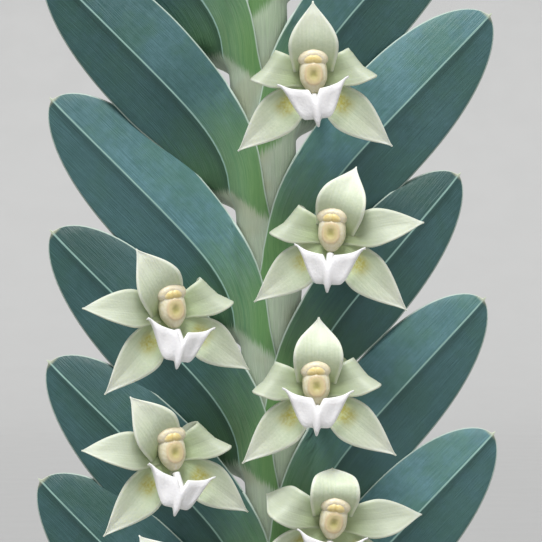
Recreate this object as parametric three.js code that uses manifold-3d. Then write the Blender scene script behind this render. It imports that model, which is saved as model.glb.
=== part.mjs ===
// A potted Dichaea glauca orchid: a plain clay pot, a bark potting mix, four leafy stems, their flowers.
// Millimetres, +Z up, origin at the middle of the pot's underside. The tall stem's leaves lie in the XZ
// plane and its front faces -Y.
//
// Every leaf is one sheet folded along its midrib. Low down both halves clasp the flattened stem, as a
// sheath. Higher up the back half swings out from behind the stem until the blade lies open, with its
// keel to the front.

import * as THREE from "three";
import { mergeVertices } from "three/addons/utils/BufferGeometryUtils.js";
import Module from "manifold-3d";

const wasm = await Module();
wasm.setup();

// Driving dimensions, millimetres and degrees
const GAP = 0.3; // between nodes that touch
const GOLDEN_ANGLE = Math.PI * (3 - Math.sqrt(5));

const POT = {
  height: 88,
  footRadius: 33,
  neckRadius: 44,
  rimRadius: 50,
  rimHeight: 19,
  wall: 5,
  floor: 7,
  sides: 30,
  drainHoles: 4,
  drainRadius: 4,
  drainCircle: 19,
};

const MIX = {
  top: 76,
  stemDepth: 26,
  chips: 38,
  chipLength: [12, 19],
  chipWidth: [9, 13],
  chipHeight: [4, 7],
  chipRoot: 4, // how much deeper a chip's underside sits, so that no hollow is left below it
};

const SHEATH = {
  halfWidth: 4.4, // the flattened stem, across the leaves
  halfDepth: 2.25, // and front to back
  flare: 0.65, // how far a sheath's mouth stands off the stem
  internode: 9.25,
  first: 7.1, // the lowest sheath's mouth above the mix
  mouthDrop: 8,
};

const LEAF = {
  length: 39.6,
  halfWidth: 6.9,
  thickness: 0.7,
  startHeading: 5, // from the stem's direction, at the sheath's mouth
  heading: 45, // and further out
  bend: 6.2, // the length over which the midrib turns
  frontFold: 6, // how far each half slopes back from the keel
  backFold: 17,
  pillow: 12,
  mucro: 0.4,
};

// where the flowers' stalks start, on the lower halves of their leaves
const AXIL = { along: 5.5, across: -0.4 };

const BLOOM = {
  dorsal: { length: 10.2, halfWidth: 3.3 },
  lateral: { length: 12.9, halfWidth: 2.85 },
  petal: { length: 11.6, halfWidth: 2.55 },
  thickness: 0.62,
  column: [1.85, 3.0, 1.7],
  lipHalfWidth: 4.75,
  lipPivot: 1.5, // the lip rolls about a point this far below the flower's middle
  ovaryLength: 4,
  ovaryRadius: 1.05,
  pedicelRadius: 0.75,
};

// lean: from upright at the foot and at the tip, towards the azimuth; face: turn of the front from -Y
const STEMS = [
  {
    name: "stem_main", foot: [0.9, 3.0], azimuth: 50, lean: [2, -6.5], face: 0, length: 210,
    bare: 3, size: 1.0, seed: 11,
  },
  {
    name: "stem_left", foot: [-13, 17], azimuth: 172, lean: [30, 44], face: -14, length: 121,
    bare: 3, size: 0.9, seed: 23,
  },
  {
    name: "stem_right", foot: [15, -13], azimuth: -8, lean: [34, 48], face: 18, length: 96,
    bare: 3, size: 0.86, seed: 37,
  },
  {
    name: "shoot_front", foot: [-11, -19], azimuth: 236, lean: [16, 30], face: -32, length: 54,
    bare: 2, size: 0.72, seed: 41,
  },
];

// leaves of the tall stem with a length and heading of their own: [number from the lowest, length, turn]
const OWN_LEAVES = [
  [4, 1.12, 0],
  [5, 1.0, 0],
  [6, 1.05, 0],
  [7, 0.98, -0.5],
  [8, 1.02, -0.8],
  [9, 0.9, -2.5],
  [10, 1.0, -1.6],
  [11, 1.04, 1.6],
  [12, 1.0, -2],
  [13, 1.0, 0],
];

// leaf: whose axil it grows from; place: [out, up, forward] from the stem's axis at that leaf;
// turn: [roll clockwise, yaw to the right, pitch up]; dorsal: the dorsal sepal's own roll;
// lip: [roll, drop]; bends: the slopes of the dorsal sepal's and the [left, right] petal's tips
const BLOOMS = [
  {
    stem: 0, leaf: 13, place: [6.9, 4.75, 9.2], turn: [1, 1, 2],
    dorsal: 1, lip: [-5, 0.4], bends: [2, -125, -130],
  },
  {
    stem: 0, leaf: 11, place: [8.7, 2.1, 9.2], turn: [5, -8, 2],
    dorsal: 16, lip: [0, 1.3], bends: [-25, -125, -12],
  },
  {
    stem: 0, leaf: 10, place: [13.7, 2.0, 11.0], turn: [-6, 20, 2],
    dorsal: -25, lip: [17, 1.4], bends: [2, -10, -100],
  },
  {
    stem: 0, leaf: 9, place: [5.6, 0.2, 9.4], turn: [-1, 2, 3],
    dorsal: 5, lip: [5, 0], bends: [-30, -100, -95],
  },
  {
    stem: 0, leaf: 8, place: [14.4, 1.3, 10.6], turn: [-6, 20, 2],
    dorsal: -31, lip: [20, 2.0], bends: [2, -14, -160],
  },
  {
    stem: 0, leaf: 7, place: [7.2, 1.0, 8.8], turn: [9, 4, -8],
    dorsal: -6, lip: [0, 1.0], bends: [-75, -70, -20],
  },
  {
    stem: 0, leaf: 6, place: [13.6, 0.9, 11.0], turn: [-8, 18, 4],
    dorsal: -28, lip: [8, 1.2], bends: [2, -24, -90],
  },
  {
    stem: 0, leaf: 5, place: [6.8, 1.2, 9.2], turn: [3, 4, 4],
    dorsal: 4, lip: [-3, 0.3], bends: [-20, -90, -60],
  },
  {
    stem: 1, leaf: 5, place: [8.6, 2.0, 9.2], turn: [12, 6, 2],
    dorsal: 5, lip: [3, 0.6], bends: [2, -80, -40],
  },
];

const COLOURS = {
  clay: 0xb9714c,
  bark: 0x5b3d28,
  leaf: 0x4c7a76,
  tepal: 0xdfe3c4,
  lip: 0xf3efee,
};

// Small helpers

const rad = THREE.MathUtils.degToRad;
const { clamp, lerp } = THREE.MathUtils;

function smooth(from, to, x) {
  const t = clamp((x - from) / (to - from), 0, 1);
  return t * t * (3 - 2 * t);
}

// A repeatable draw between -1 and 1 for each count of a seed.
function draw(seed, count) {
  const x = Math.sin(seed * 12.9898 + count * 78.233) * 43758.5453;
  return (x - Math.floor(x)) * 2 - 1;
}

function between([low, high], share) {
  return lerp(low, high, (share + 1) / 2);
}

function colour(hex, roughness) {
  return new THREE.MeshStandardMaterial({ color: hex, roughness, metalness: 0 });
}

// Solids

function solidFrom(points, faces) {
  const volume = faces.reduce(
    (sum, [a, b, c]) => sum + points[a].dot(new THREE.Vector3().crossVectors(points[b], points[c])),
    0,
  );
  const outward = volume < 0 ? faces.map(([a, b, c]) => [a, c, b]) : faces;
  const geometry = new THREE.BufferGeometry().setFromPoints(points);
  geometry.setIndex(outward.flat());
  return solidOf(geometry);
}

function solidOf(geometry) {
  geometry.deleteAttribute("normal");
  geometry.deleteAttribute("uv");
  const merged = mergeVertices(geometry, 1e-4);
  const mesh = new wasm.Mesh({
    numProp: 3,
    vertProperties: new Float32Array(merged.attributes.position.array),
    triVerts: new Uint32Array(merged.index.array),
  });
  return new wasm.Manifold(mesh);
}

function fuse(solids) {
  return solids.reduce((whole, solid) => whole.add(solid));
}

// The shell that each vertex belongs to, as the number of one vertex of that shell.
function shellsOf(count, triangles) {
  const parent = Array.from({ length: count }, (_, i) => i);
  const find = (i) => {
    while (parent[i] !== i) {
      parent[i] = parent[parent[i]];
      i = parent[i];
    }
    return i;
  };
  for (let i = 0; i < triangles.length; i += 3) {
    parent[find(triangles[i + 1])] = find(triangles[i]);
    parent[find(triangles[i + 2])] = find(triangles[i]);
  }
  return find;
}

// Crossing sheets can close off a hollow or a splinter under a cubic millimetre: those shells are left out.
function wholeTriangles(positions, triangles) {
  const find = shellsOf(positions.length / 3, triangles);
  const volumes = new Map();
  const corner = (i) => new THREE.Vector3().fromArray(positions, 3 * triangles[i]);
  for (let i = 0; i < triangles.length; i += 3) {
    const shell = find(triangles[i]);
    const sixth = corner(i).dot(corner(i + 1).cross(corner(i + 2))) / 6;
    volumes.set(shell, (volumes.get(shell) ?? 0) + sixth);
  }
  return triangles.filter((_, i) => Math.abs(volumes.get(find(triangles[i - (i % 3)]))) > 1);
}

function meshOf(name, solid, material) {
  const { vertProperties, triVerts } = solid.getMesh();
  const triangles = wholeTriangles(vertProperties, Array.from(triVerts));
  const geometry = new THREE.BufferGeometry();
  geometry.setAttribute("position", new THREE.BufferAttribute(new Float32Array(vertProperties), 3));
  geometry.setIndex(triangles);
  geometry.computeVertexNormals();
  const mesh = new THREE.Mesh(geometry, material);
  mesh.name = name;
  return mesh;
}

// A thin sheet from its two faces, each a grid of points [station][across], split alike on both.
function sheetSolid(outer, inner) {
  const rows = outer.length;
  const columns = outer[0].length;
  const points = [...outer.flat(), ...inner.flat()];
  const at = (i, j, back) => (back ? rows * columns : 0) + i * columns + j;
  const faces = [];
  const quad = (a, b, c, d) => faces.push([a, b, c], [a, c, d]);
  for (let i = 0; i < rows - 1; i++) {
    for (let j = 0; j < columns - 1; j++) {
      faces.push([at(i, j), at(i, j + 1), at(i + 1, j + 1)]);
      faces.push([at(i, j), at(i + 1, j + 1), at(i + 1, j)]);
      faces.push([at(i, j, 1), at(i + 1, j + 1, 1), at(i, j + 1, 1)]);
      faces.push([at(i, j, 1), at(i + 1, j, 1), at(i + 1, j + 1, 1)]);
    }
    quad(at(i, 0), at(i + 1, 0), at(i + 1, 0, 1), at(i, 0, 1));
    quad(at(i, columns - 1), at(i, columns - 1, 1), at(i + 1, columns - 1, 1), at(i + 1, columns - 1));
  }
  for (let j = 0; j < columns - 1; j++) {
    quad(at(0, j), at(0, j, 1), at(0, j + 1, 1), at(0, j + 1));
    quad(at(rows - 1, j), at(rows - 1, j + 1), at(rows - 1, j + 1, 1), at(rows - 1, j, 1));
  }
  return solidFrom(points, faces);
}

// A closed body through rings of points, with each end closed by a fan.
function loftSolid(rings) {
  const sides = rings[0].length;
  const points = rings.flat();
  const faces = [];
  rings.slice(1).forEach((_, i) => {
    for (let j = 0; j < sides; j++) {
      const k = (j + 1) % sides;
      const [a, b] = [i * sides + j, i * sides + k];
      const [c, d] = [(i + 1) * sides + k, (i + 1) * sides + j];
      faces.push([a, b, c], [a, c, d]);
    }
  });
  const last = (rings.length - 1) * sides;
  for (let j = 1; j < sides - 1; j++) {
    faces.push([0, j + 1, j], [last, last + j, last + j + 1]);
  }
  return solidFrom(points, faces);
}

// Stems: each is a circular arc, with a frame that goes along it

function stemFrame(stem, along) {
  const [start, end] = stem.lean.map(rad);
  const rate = (end - start) / stem.length;
  const lean = start + rate * along;
  const reach = (Math.cos(start) - Math.cos(lean)) / rate;
  const rise = (Math.sin(lean) - Math.sin(start)) / rate;
  const towards = new THREE.Vector3(Math.cos(rad(stem.azimuth)), Math.sin(rad(stem.azimuth)), 0);
  const up = new THREE.Vector3(0, 0, 1);
  const centre = new THREE.Vector3(...stem.foot, MIX.top)
    .addScaledVector(towards, reach)
    .addScaledVector(up, rise);
  const tangent = towards.clone().multiplyScalar(Math.sin(lean)).addScaledVector(up, Math.cos(lean));
  const face = new THREE.Vector3(Math.sin(rad(stem.face)), -Math.cos(rad(stem.face)), 0);
  face.addScaledVector(tangent, -face.dot(tangent)).normalize();
  const side = new THREE.Vector3().crossVectors(tangent, face);
  return { centre, tangent, face, side };
}

function place(frame, side, up, face) {
  return frame.centre
    .clone()
    .addScaledVector(frame.side, side)
    .addScaledVector(frame.tangent, up)
    .addScaledVector(frame.face, face);
}

// The stem's half width shrinks a little towards the foot and a lot towards the growing tip.
function girth(stem, along) {
  const foot = lerp(0.8, 1, smooth(-20, 40, along));
  const left = stem.length - along;
  const tip = lerp(0.42, 1, smooth(0, 46, left)) * lerp(0.35, 1, smooth(-1, 5, left));
  return stem.size ** 0.5 * foot * tip;
}

// Where the leaves leave the stem: evenly spaced, closer together near the tip.
function nodesOf(stem) {
  const nodes = [];
  let along = SHEATH.first * stem.size;
  for (let count = 0; along < stem.length - 4; count++) {
    const left = stem.length - along;
    const step = SHEATH.internode * stem.size ** 0.3 * lerp(0.45, 1, smooth(0, 36, left));
    nodes.push({ along, number: count - stem.bare, side: (count + stem.bare) % 2 ? 1 : -1 });
    along += step;
  }
  return nodes;
}

function ellipseRing(stem, along, halfWidth, halfDepth, sides, drop = () => 0) {
  return Array.from({ length: sides }, (_, i) => {
    const angle = (2 * Math.PI * i) / sides;
    const frame = stemFrame(stem, along + drop(angle));
    return place(frame, halfWidth * Math.cos(angle), 0, halfDepth * Math.sin(angle));
  });
}

// How far a sheath's mouth lies below its leaf's bend: it falls away on the side across from the leaf.
function mouthDrop(stem, node, angle) {
  const across = Math.max(0, -node.side * Math.cos(angle) - 0.05);
  return -SHEATH.mouthDrop * stem.size ** 0.3 * across;
}

// The flattened stem as a row of sheaths, each a little wider at its mouth than the next one at its foot.
function stemSolid(stem, nodes) {
  const ring = (along, room, drop) => {
    const scale = girth(stem, along);
    const [wide, deep] = [SHEATH.halfWidth * scale + room, SHEATH.halfDepth * scale + room];
    return ellipseRing(stem, along, wide, deep, 6, drop);
  };
  const rings = [ring(-MIX.stemDepth + GAP, 0), ring(nodes[0].along - 6, 0)];
  nodes.forEach((node) => {
    const drop = (angle) => mouthDrop(stem, node, angle);
    rings.push(ring(node.along, SHEATH.flare, drop), ring(node.along + 0.1, 0, drop));
  });
  rings.push(ring(stem.length, 0));
  return loftSolid(rings);
}

// Leaves

function leafOf(stem, node) {
  const fromTip = stem.length - node.along;
  const young = smooth(-6, 52, fromTip);
  const old = lerp(0.82, 1, smooth(-1, 4, node.number));
  const leaf = {
    ...node,
    size: stem.size * old * lerp(0.2, 1, young) * (1 + 0.03 * draw(stem.seed, node.number)),
    heading: LEAF.heading * lerp(0.42, 1, young) + 1.5 * draw(stem.seed, node.number + 50),
    twist: 4 * draw(stem.seed, node.number + 100),
    arch: 1.2 + 0.8 * draw(stem.seed, node.number + 150),
  };
  const own = stem === STEMS[0] && OWN_LEAVES.find(([number]) => number === node.number);
  return own ? { ...leaf, size: own[1], heading: LEAF.heading + own[2] } : leaf;
}

function headingAt(leaf, s) {
  if (s <= 0) return rad(LEAF.startHeading);
  const turned = 1 - Math.exp(-((s / (LEAF.bend * leaf.size)) ** 1.2));
  return rad(lerp(LEAF.startHeading, leaf.heading, turned));
}

function halfWidthAt(t) {
  if (t > 0.55) return Math.max(0, 1 - ((t - 0.55) / 0.45) ** 2.3) ** 0.53;
  return 1 - 0.36 * ((0.55 - t) / 0.55) ** 1.6;
}

// The two half blades of a leaf at s from its sheath's mouth, as [across, forward] steps from the keel.
function armPoint(leaf, s, v, clasp) {
  const t = s / (LEAF.length * leaf.size);
  const front = v >= 0;
  const open = front ? smooth(-2, 11 * leaf.size, s) : smooth(-10, 6 * leaf.size, s);
  const blade = LEAF.halfWidth * leaf.size * halfWidthAt(clamp(t, 0, 1));
  const width = Math.max(LEAF.mucro, lerp(blade, clasp, Math.exp(-Math.max(0, s) / 4)));
  const parts = 12;
  const point = [0, 0];
  let angle = 0;
  for (let i = 0; i < parts; i++) {
    const share = ((i + 0.5) / parts) * Math.abs(v);
    angle = armAngle(front, open, share);
    point[0] += (Math.cos(angle) * width * Math.abs(v)) / parts;
    point[1] += ((front ? 1 : -1) * Math.sin(angle) * width * Math.abs(v)) / parts;
  }
  angle = armAngle(front, open, Math.abs(v));
  return { point, normal: [-Math.sin(angle), (front ? 1 : -1) * Math.cos(angle)] };
}

// The direction of a half blade: round the stem while it clasps, straight out once it is open.
function armAngle(front, open, share) {
  const clasping = rad(90) * (1 - share) ** 1.2;
  const fold = front ? -rad(LEAF.frontFold) : Math.PI - rad(LEAF.backFold);
  const pillow = rad(LEAF.pillow) * (0.5 - share) * (front ? 1 : -1);
  return lerp(clasping, fold + pillow, open);
}

function keelPoint(stem, leaf, s) {
  const scale = girth(stem, leaf.along);
  const mouth = SHEATH.halfWidth * scale + SHEATH.flare * 0.6;
  if (s <= 0) return { out: mouth + 0.03 * s, up: s, forward: 0 };
  const steps = Math.ceil(s / 0.5);
  let [out, up] = [mouth, 0];
  for (let i = 0; i < steps; i++) {
    const heading = headingAt(leaf, ((i + 0.5) * s) / steps);
    out += (Math.sin(heading) * s) / steps;
    up += (Math.cos(heading) * s) / steps;
  }
  const t = s / (LEAF.length * leaf.size);
  return { out, up, forward: leaf.arch * Math.sin(Math.PI * Math.min(1, t)) - 2.2 * t * t * leaf.size };
}

function leafPoint(stem, leaf, s, v, lift) {
  const clasp = 5.6 * girth(stem, leaf.along);
  const keel = keelPoint(stem, leaf, s);
  const heading = headingAt(leaf, s);
  const arm = armPoint(leaf, s, v, clasp);
  let normal = arm.normal;
  if (v === 0) {
    const back = armPoint(leaf, s, -1e-6, clasp).normal;
    const sum = new THREE.Vector2(normal[0] + back[0], normal[1] + back[1]).normalize();
    normal = [sum.x, sum.y];
  }
  const turn = rad(leaf.twist) * smooth(0, 20, s);
  const across = arm.point[0] + lift * normal[0];
  const forward = arm.point[1] + lift * normal[1];
  const n = across * Math.cos(turn) - forward * Math.sin(turn);
  const b = across * Math.sin(turn) + forward * Math.cos(turn);
  const out = keel.out - n * Math.cos(heading);
  const up = keel.up + n * Math.sin(heading);
  const frame = stemFrame(stem, leaf.along + Math.min(0, keel.up));
  return place(frame, leaf.side * out, up - Math.min(0, keel.up), keel.forward + b);
}

function leafSolid(stem, leaf) {
  const length = LEAF.length * leaf.size;
  const stations = [-3, 2.4 * leaf.size, ...[0.2, 0.45, 0.74, 0.94, 1].map((share) => share * length)];
  const half = LEAF.thickness / 2;
  const grid = (lift) =>
    stations.map((s) =>
      [1, 0, -1].map((v) => {
        const point = leafPoint(stem, leaf, s, v, lift);
        if (s > 0) return point;
        return point.lerp(stemFrame(stem, leaf.along + s).centre, 0.75);
      }),
    );
  return sheetSolid(grid(half), grid(-half));
}

// Flowers

function bloomFrame(bloom) {
  const stem = STEMS[bloom.stem];
  const node = nodesOf(stem).find(({ number }) => number === bloom.leaf);
  const frame = stemFrame(stem, node.along);
  const [out, up, forward] = bloom.place;
  const centre = place(frame, node.side * out, up, forward);
  const [roll, yaw, pitch] = bloom.turn.map(rad);
  const spin = new THREE.Quaternion()
    .setFromAxisAngle(frame.tangent, yaw)
    .multiply(new THREE.Quaternion().setFromAxisAngle(frame.side, -pitch))
    .multiply(new THREE.Quaternion().setFromAxisAngle(frame.face, -roll));
  const side = frame.side.clone().applyQuaternion(spin);
  const tangent = frame.tangent.clone().applyQuaternion(spin);
  const face = frame.face.clone().applyQuaternion(spin);
  const root = leafPoint(stem, leafOf(stem, node), AXIL.along, AXIL.across, 0);
  return { centre, side, tangent, face, root };
}

// angle: clockwise from the top; rise: the slope forward at the foot, further out and at the curled tip;
// slant: how much earlier the upper half curls; foot: the width where it starts; widest: where, as a
// share of the length; taper: more for a sharper tip; skew: how much fuller the upper half is
const TEPALS = [
  {
    kind: "dorsal", angle: 0, rise: [52, 2, 2], slant: 0, cup: 0.28,
    foot: 0.4, widest: 0.46, taper: 1.3, skew: 0,
  },
  {
    kind: "petal", angle: -78, rise: [26, 0, 0], slant: 0.16, cup: 0.2,
    foot: 0.35, widest: 0.42, taper: 1.1, skew: 0.15,
  },
  {
    kind: "petal", angle: 78, rise: [26, 0, 0], slant: -0.16, cup: 0.2,
    foot: 0.35, widest: 0.42, taper: 1.1, skew: -0.15,
  },
  {
    kind: "lateral", angle: -132, rise: [14, -14, -14], slant: 0, cup: 0.22,
    foot: 0.35, widest: 0.42, taper: 1.3, skew: -0.06,
  },
  {
    kind: "lateral", angle: 132, rise: [14, -14, -14], slant: 0, cup: 0.22,
    foot: 0.35, widest: 0.42, taper: 1.3, skew: 0.06,
  },
];
const TEPAL_START = [1.2, 0.3]; // where they begin: out from the flower's middle, and forward

function tepalWidth(t, { foot, widest, taper }) {
  if (t < widest) return lerp(foot, 1, smooth(0, widest, t));
  return (1 - ((t - widest) / (1 - widest)) ** 1.6) ** taper;
}

function riseAt([foot, middle, tip], t) {
  return rad(lerp(lerp(foot, middle, t), tip, smooth(0.35, 0.65, t)));
}

// A point of a sepal or petal, v from -1 to 1 across it.
function tepalPoint(frame, tepal, t, v, lift) {
  const size = BLOOM[tepal.kind];
  const angle = rad(tepal.angle);
  const width = tepalWidth(t, tepal);
  const steps = 10;
  let [radial, forward] = TEPAL_START;
  let rise = riseAt(tepal.rise, 0);
  for (let i = 0; i < steps; i++) {
    rise = riseAt(tepal.rise, ((i + 0.5) / steps) * t + tepal.slant * v * width);
    radial += (Math.cos(rise) * size.length * t) / steps;
    forward += (Math.sin(rise) * size.length * t) / steps;
  }
  const half = Math.max(0.2, size.halfWidth * width);
  const off = v * half * (1 + tepal.skew * v);
  const bowl = tepal.cup * v * v * half + lift;
  const along = radial - Math.sin(rise) * bowl;
  const front = forward + Math.cos(rise) * bowl;
  const x = along * Math.sin(angle) + off * Math.cos(angle);
  const y = along * Math.cos(angle) - off * Math.sin(angle);
  return place(frame, x, y, front);
}

function tepalSolid(frame, tepal) {
  const half = BLOOM.thickness / 2;
  const shares = tepal.kind === "petal" ? [0, 0.42, 0.66, 1] : [0, 0.44, 0.74, 1];
  const grid = (lift) => shares.map((t) => [-1, 0, 1].map((v) => tepalPoint(frame, tepal, t, v, lift)));
  return sheetSolid(grid(half), grid(-half));
}

function blob(frame, middle, radii, detail) {
  const ball = new THREE.SphereGeometry(1, detail, Math.round(detail * 0.6));
  const basis = new THREE.Matrix4().makeBasis(
    frame.side.clone().multiplyScalar(radii[0]),
    frame.tangent.clone().multiplyScalar(radii[1]),
    frame.face.clone().multiplyScalar(radii[2]),
  );
  basis.setPosition(place(frame, ...middle));
  ball.applyMatrix4(basis);
  return solidOf(ball);
}

function tubeSolid(points, radii, sides) {
  const curve = new THREE.CatmullRomCurve3(points);
  const steps = radii.length - 1;
  const frames = curve.computeFrenetFrames(steps);
  const rings = radii.map((radius, i) => {
    const middle = curve.getPointAt(i / steps);
    return Array.from({ length: sides }, (_, j) => {
      const angle = (2 * Math.PI * j) / sides;
      return middle
        .clone()
        .addScaledVector(frames.normals[i], radius * Math.cos(angle))
        .addScaledVector(frames.binormals[i], radius * Math.sin(angle));
    });
  });
  return loftSolid(rings);
}

// The stalk's path: from the leaf axil forward and out to the back of the flower.
function stalkPath(frame) {
  const back = place(frame, 0, 0, 0);
  const away = frame.face.clone().multiplyScalar(-1);
  const joint = back.clone().addScaledVector(away, BLOOM.ovaryLength).addScaledVector(frame.tangent, -0.8);
  return { back, joint, direction: back.clone().sub(joint).normalize() };
}

function pedicelSolid(frame) {
  const { joint, direction } = stalkPath(frame);
  const end = joint.clone().addScaledVector(direction, -GAP);
  const bend = end.clone().addScaledVector(direction, -1.6);
  const r = BLOOM.pedicelRadius;
  return tubeSolid([frame.root, bend, end], [r, r, r * 0.95], 6);
}

function bloomSolid(bloom, frame) {
  const tepals = TEPALS.map((tepal, i) => {
    const angle = tepal.kind === "dorsal" ? bloom.dorsal : tepal.angle;
    const [foot, middle, tip] = tepal.rise;
    return tepalSolid(frame, { ...tepal, angle, rise: [foot, middle, bloom.bends[i] ?? tip] });
  });
  const { back, joint } = stalkPath(frame);
  const ovary = tubeSolid(
    [joint, joint.clone().lerp(back, 0.5), place(frame, 0, 0, 0.8)],
    [BLOOM.pedicelRadius, BLOOM.ovaryRadius * 1.3],
    6,
  );
  const column = blob(frame, [0, 1.0, 2.0], BLOOM.column, 6);
  return fuse([ovary, column, ...tepals]);
}

// The lip: a short claw from the column's foot, then a crosswise blade with two raised side points.
function lipPoint(frame, [roll, drop], u, v, lift) {
  const side = Math.abs(u);
  const top = -2.3 + 1.3 * smooth(0, 0.18, side) + 1.3 * side ** 2.5;
  const bottom = lerp(-5.8, -4.9, smooth(0, 0.2, side)) + 5.0 * smooth(0.3, 1, side) ** 1.1;
  const x = u * BLOOM.lipHalfWidth;
  const low = lerp(top, bottom, v) - (side > 0.98 ? 0.1 : 0) + BLOOM.lipPivot;
  const turn = rad(roll);
  const turnedX = x * Math.cos(turn) + low * Math.sin(turn);
  const turnedY = low * Math.cos(turn) - x * Math.sin(turn) - BLOOM.lipPivot - drop;
  const z = 4.5 - 0.9 * side ** 1.5 - 1.1 * (v - 0.25) ** 2 + lift;
  return place(frame, turnedX, turnedY, z);
}

function lipSolid(bloom, frame) {
  const half = 0.32;
  const [, drop] = bloom.lip;
  const across = [-1, -0.55, 0, 0.55, 1];
  const grid = (lift) => across.map((u) => [0, 0.5, 1].map((v) => lipPoint(frame, bloom.lip, u, v, lift)));
  const path = [
    place(frame, 0, -2.3, 2.2 + GAP),
    place(frame, 0, -2.7 - drop / 2, 3.2),
    place(frame, 0, -3.1 - drop, 3.95),
  ];
  const claw = tubeSolid(path, [0.5, 0.6], 5);
  return fuse([sheetSolid(grid(half), grid(-half)), claw]);
}

// Pot and potting mix

function lathe(profile, sides) {
  const points = profile.map(([radius, height]) => new THREE.Vector2(radius, height));
  return solidOf(new THREE.LatheGeometry(points, sides).rotateX(Math.PI / 2));
}

function innerRadius(height) {
  const share = (height - POT.floor) / (POT.height - POT.floor);
  return lerp(POT.footRadius - POT.wall, POT.rimRadius - POT.wall, share);
}

function potSolid() {
  const rimFoot = POT.height - POT.rimHeight;
  const shell = lathe(
    [
      [0, 0],
      [POT.footRadius - 1, 0],
      [POT.footRadius, 1],
      [POT.neckRadius, rimFoot],
      [POT.rimRadius - 1.2, rimFoot + 0.6],
      [POT.rimRadius, rimFoot + 2.5],
      [POT.rimRadius, POT.height - 1.5],
      [POT.rimRadius - 1.5, POT.height],
      [POT.rimRadius - POT.wall + 1.2, POT.height],
      [POT.rimRadius - POT.wall, POT.height - 1.2],
      [innerRadius(POT.floor), POT.floor],
      [0, POT.floor],
    ],
    POT.sides,
  );
  const holes = Array.from({ length: POT.drainHoles }, (_, i) => {
    const angle = Math.PI * (0.25 + (2 * i) / POT.drainHoles);
    const drill = new THREE.CylinderGeometry(POT.drainRadius, POT.drainRadius, POT.floor * 3, 12);
    drill.rotateX(Math.PI / 2);
    drill.translate(POT.drainCircle * Math.cos(angle), POT.drainCircle * Math.sin(angle), 0);
    return solidOf(drill);
  });
  return holes.reduce((pot, hole) => pot.subtract(hole), shell);
}

// Bark chips in a sunflower spiral, each a box with its corners moved a little.
function chipSolid(i) {
  const share = (n) => draw(74, i * 9 + n);
  const size = [MIX.chipLength, MIX.chipWidth, MIX.chipHeight].map((range, n) => between(range, share(n)));
  const chip = new THREE.BoxGeometry(...size);
  const position = chip.attributes.position;
  for (let k = 0; k < position.count; k++) {
    const corner = ["getX", "getY", "getZ"].map((get) => (position[get](k) > 0 ? 1 : 0));
    const key = corner[0] + 2 * corner[1] + 4 * corner[2];
    const nudge = (axis) => size[axis] * 0.13 * draw(97 + i, key * 3 + axis);
    const height = position.getZ(k) + nudge(2) - (corner[2] ? 0 : MIX.chipRoot);
    position.setXYZ(k, position.getX(k) + nudge(0), position.getY(k) + nudge(1), height);
  }
  const reach = innerRadius(MIX.top) - 3;
  const radius = reach * Math.sqrt((i + 0.5) / MIX.chips);
  const angle = i * GOLDEN_ANGLE;
  chip.rotateX(0.24 * share(3));
  chip.rotateY(0.24 * share(4));
  chip.rotateZ(Math.PI * share(5));
  chip.translate(radius * Math.cos(angle), radius * Math.sin(angle), MIX.top - 0.8 + 1.0 * share(6));
  return solidOf(chip);
}

function mixSolid() {
  const [low, high] = [POT.floor + GAP, POT.height + 4];
  const limit = lathe(
    [[0, low], [innerRadius(low) - 0.5, low], [innerRadius(high) - 0.5, high], [0, high]],
    POT.sides,
  );
  const bed = lathe(
    [[0, low], [innerRadius(low) - 0.5, low], [innerRadius(MIX.top) - 0.5, MIX.top], [0, MIX.top + 0.5]],
    POT.sides,
  );
  const chips = Array.from({ length: MIX.chips }, (_, i) => chipSolid(i));
  const heap = fuse([bed, fuse(chips).intersect(limit)]);
  return STEMS.reduce((mix, stem) => mix.subtract(holeSolid(stem)), heap);
}

// The hole that a stem stands in, a little wider than the stem.
function holeSolid(stem) {
  const rings = [-MIX.stemDepth, 0, 16].map((along) => {
    const scale = girth(stem, along);
    const room = along > 0 ? SHEATH.flare + 0.5 : 0.45 + (along === 0 ? SHEATH.flare : 0);
    return ellipseRing(stem, along, SHEATH.halfWidth * scale + room, SHEATH.halfDepth * scale + room, 10);
  });
  return loftSolid(rings);
}

// The whole plant

const plant = new THREE.Group();
plant.name = "potted_dichaea_glauca";

plant.add(meshOf("pot", potSolid(), colour(COLOURS.clay, 0.9)));
plant.add(meshOf("potting_mix", mixSolid(), colour(COLOURS.bark, 0.95)));

const bloomFrames = BLOOMS.map(bloomFrame);

STEMS.forEach((stem, index) => {
  const nodes = nodesOf(stem);
  const leafy = nodes.filter(({ number }) => number >= 0);
  const leaves = leafy.map((node) => leafSolid(stem, leafOf(stem, node)));
  const stalks = bloomFrames.filter((_, i) => BLOOMS[i].stem === index).map(pedicelSolid);
  const solid = fuse([stemSolid(stem, nodes), ...leaves, ...stalks]);
  plant.add(meshOf(stem.name, solid, colour(COLOURS.leaf, 0.55)));
});

BLOOMS.forEach((bloom, i) => {
  const frame = bloomFrames[i];
  plant.add(meshOf(`bloom_${i + 1}`, bloomSolid(bloom, frame), colour(COLOURS.tepal, 0.5)));
  plant.add(meshOf(`lip_${i + 1}`, lipSolid(bloom, frame), colour(COLOURS.lip, 0.5)));
});

export default plant;
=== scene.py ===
"""Dresses the potted Dichaea glauca: leaves, sheaths, flowers, clay pot and bark, in a pale studio."""

import math

import bpy
import numpy as np
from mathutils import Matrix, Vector, noise


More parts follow.
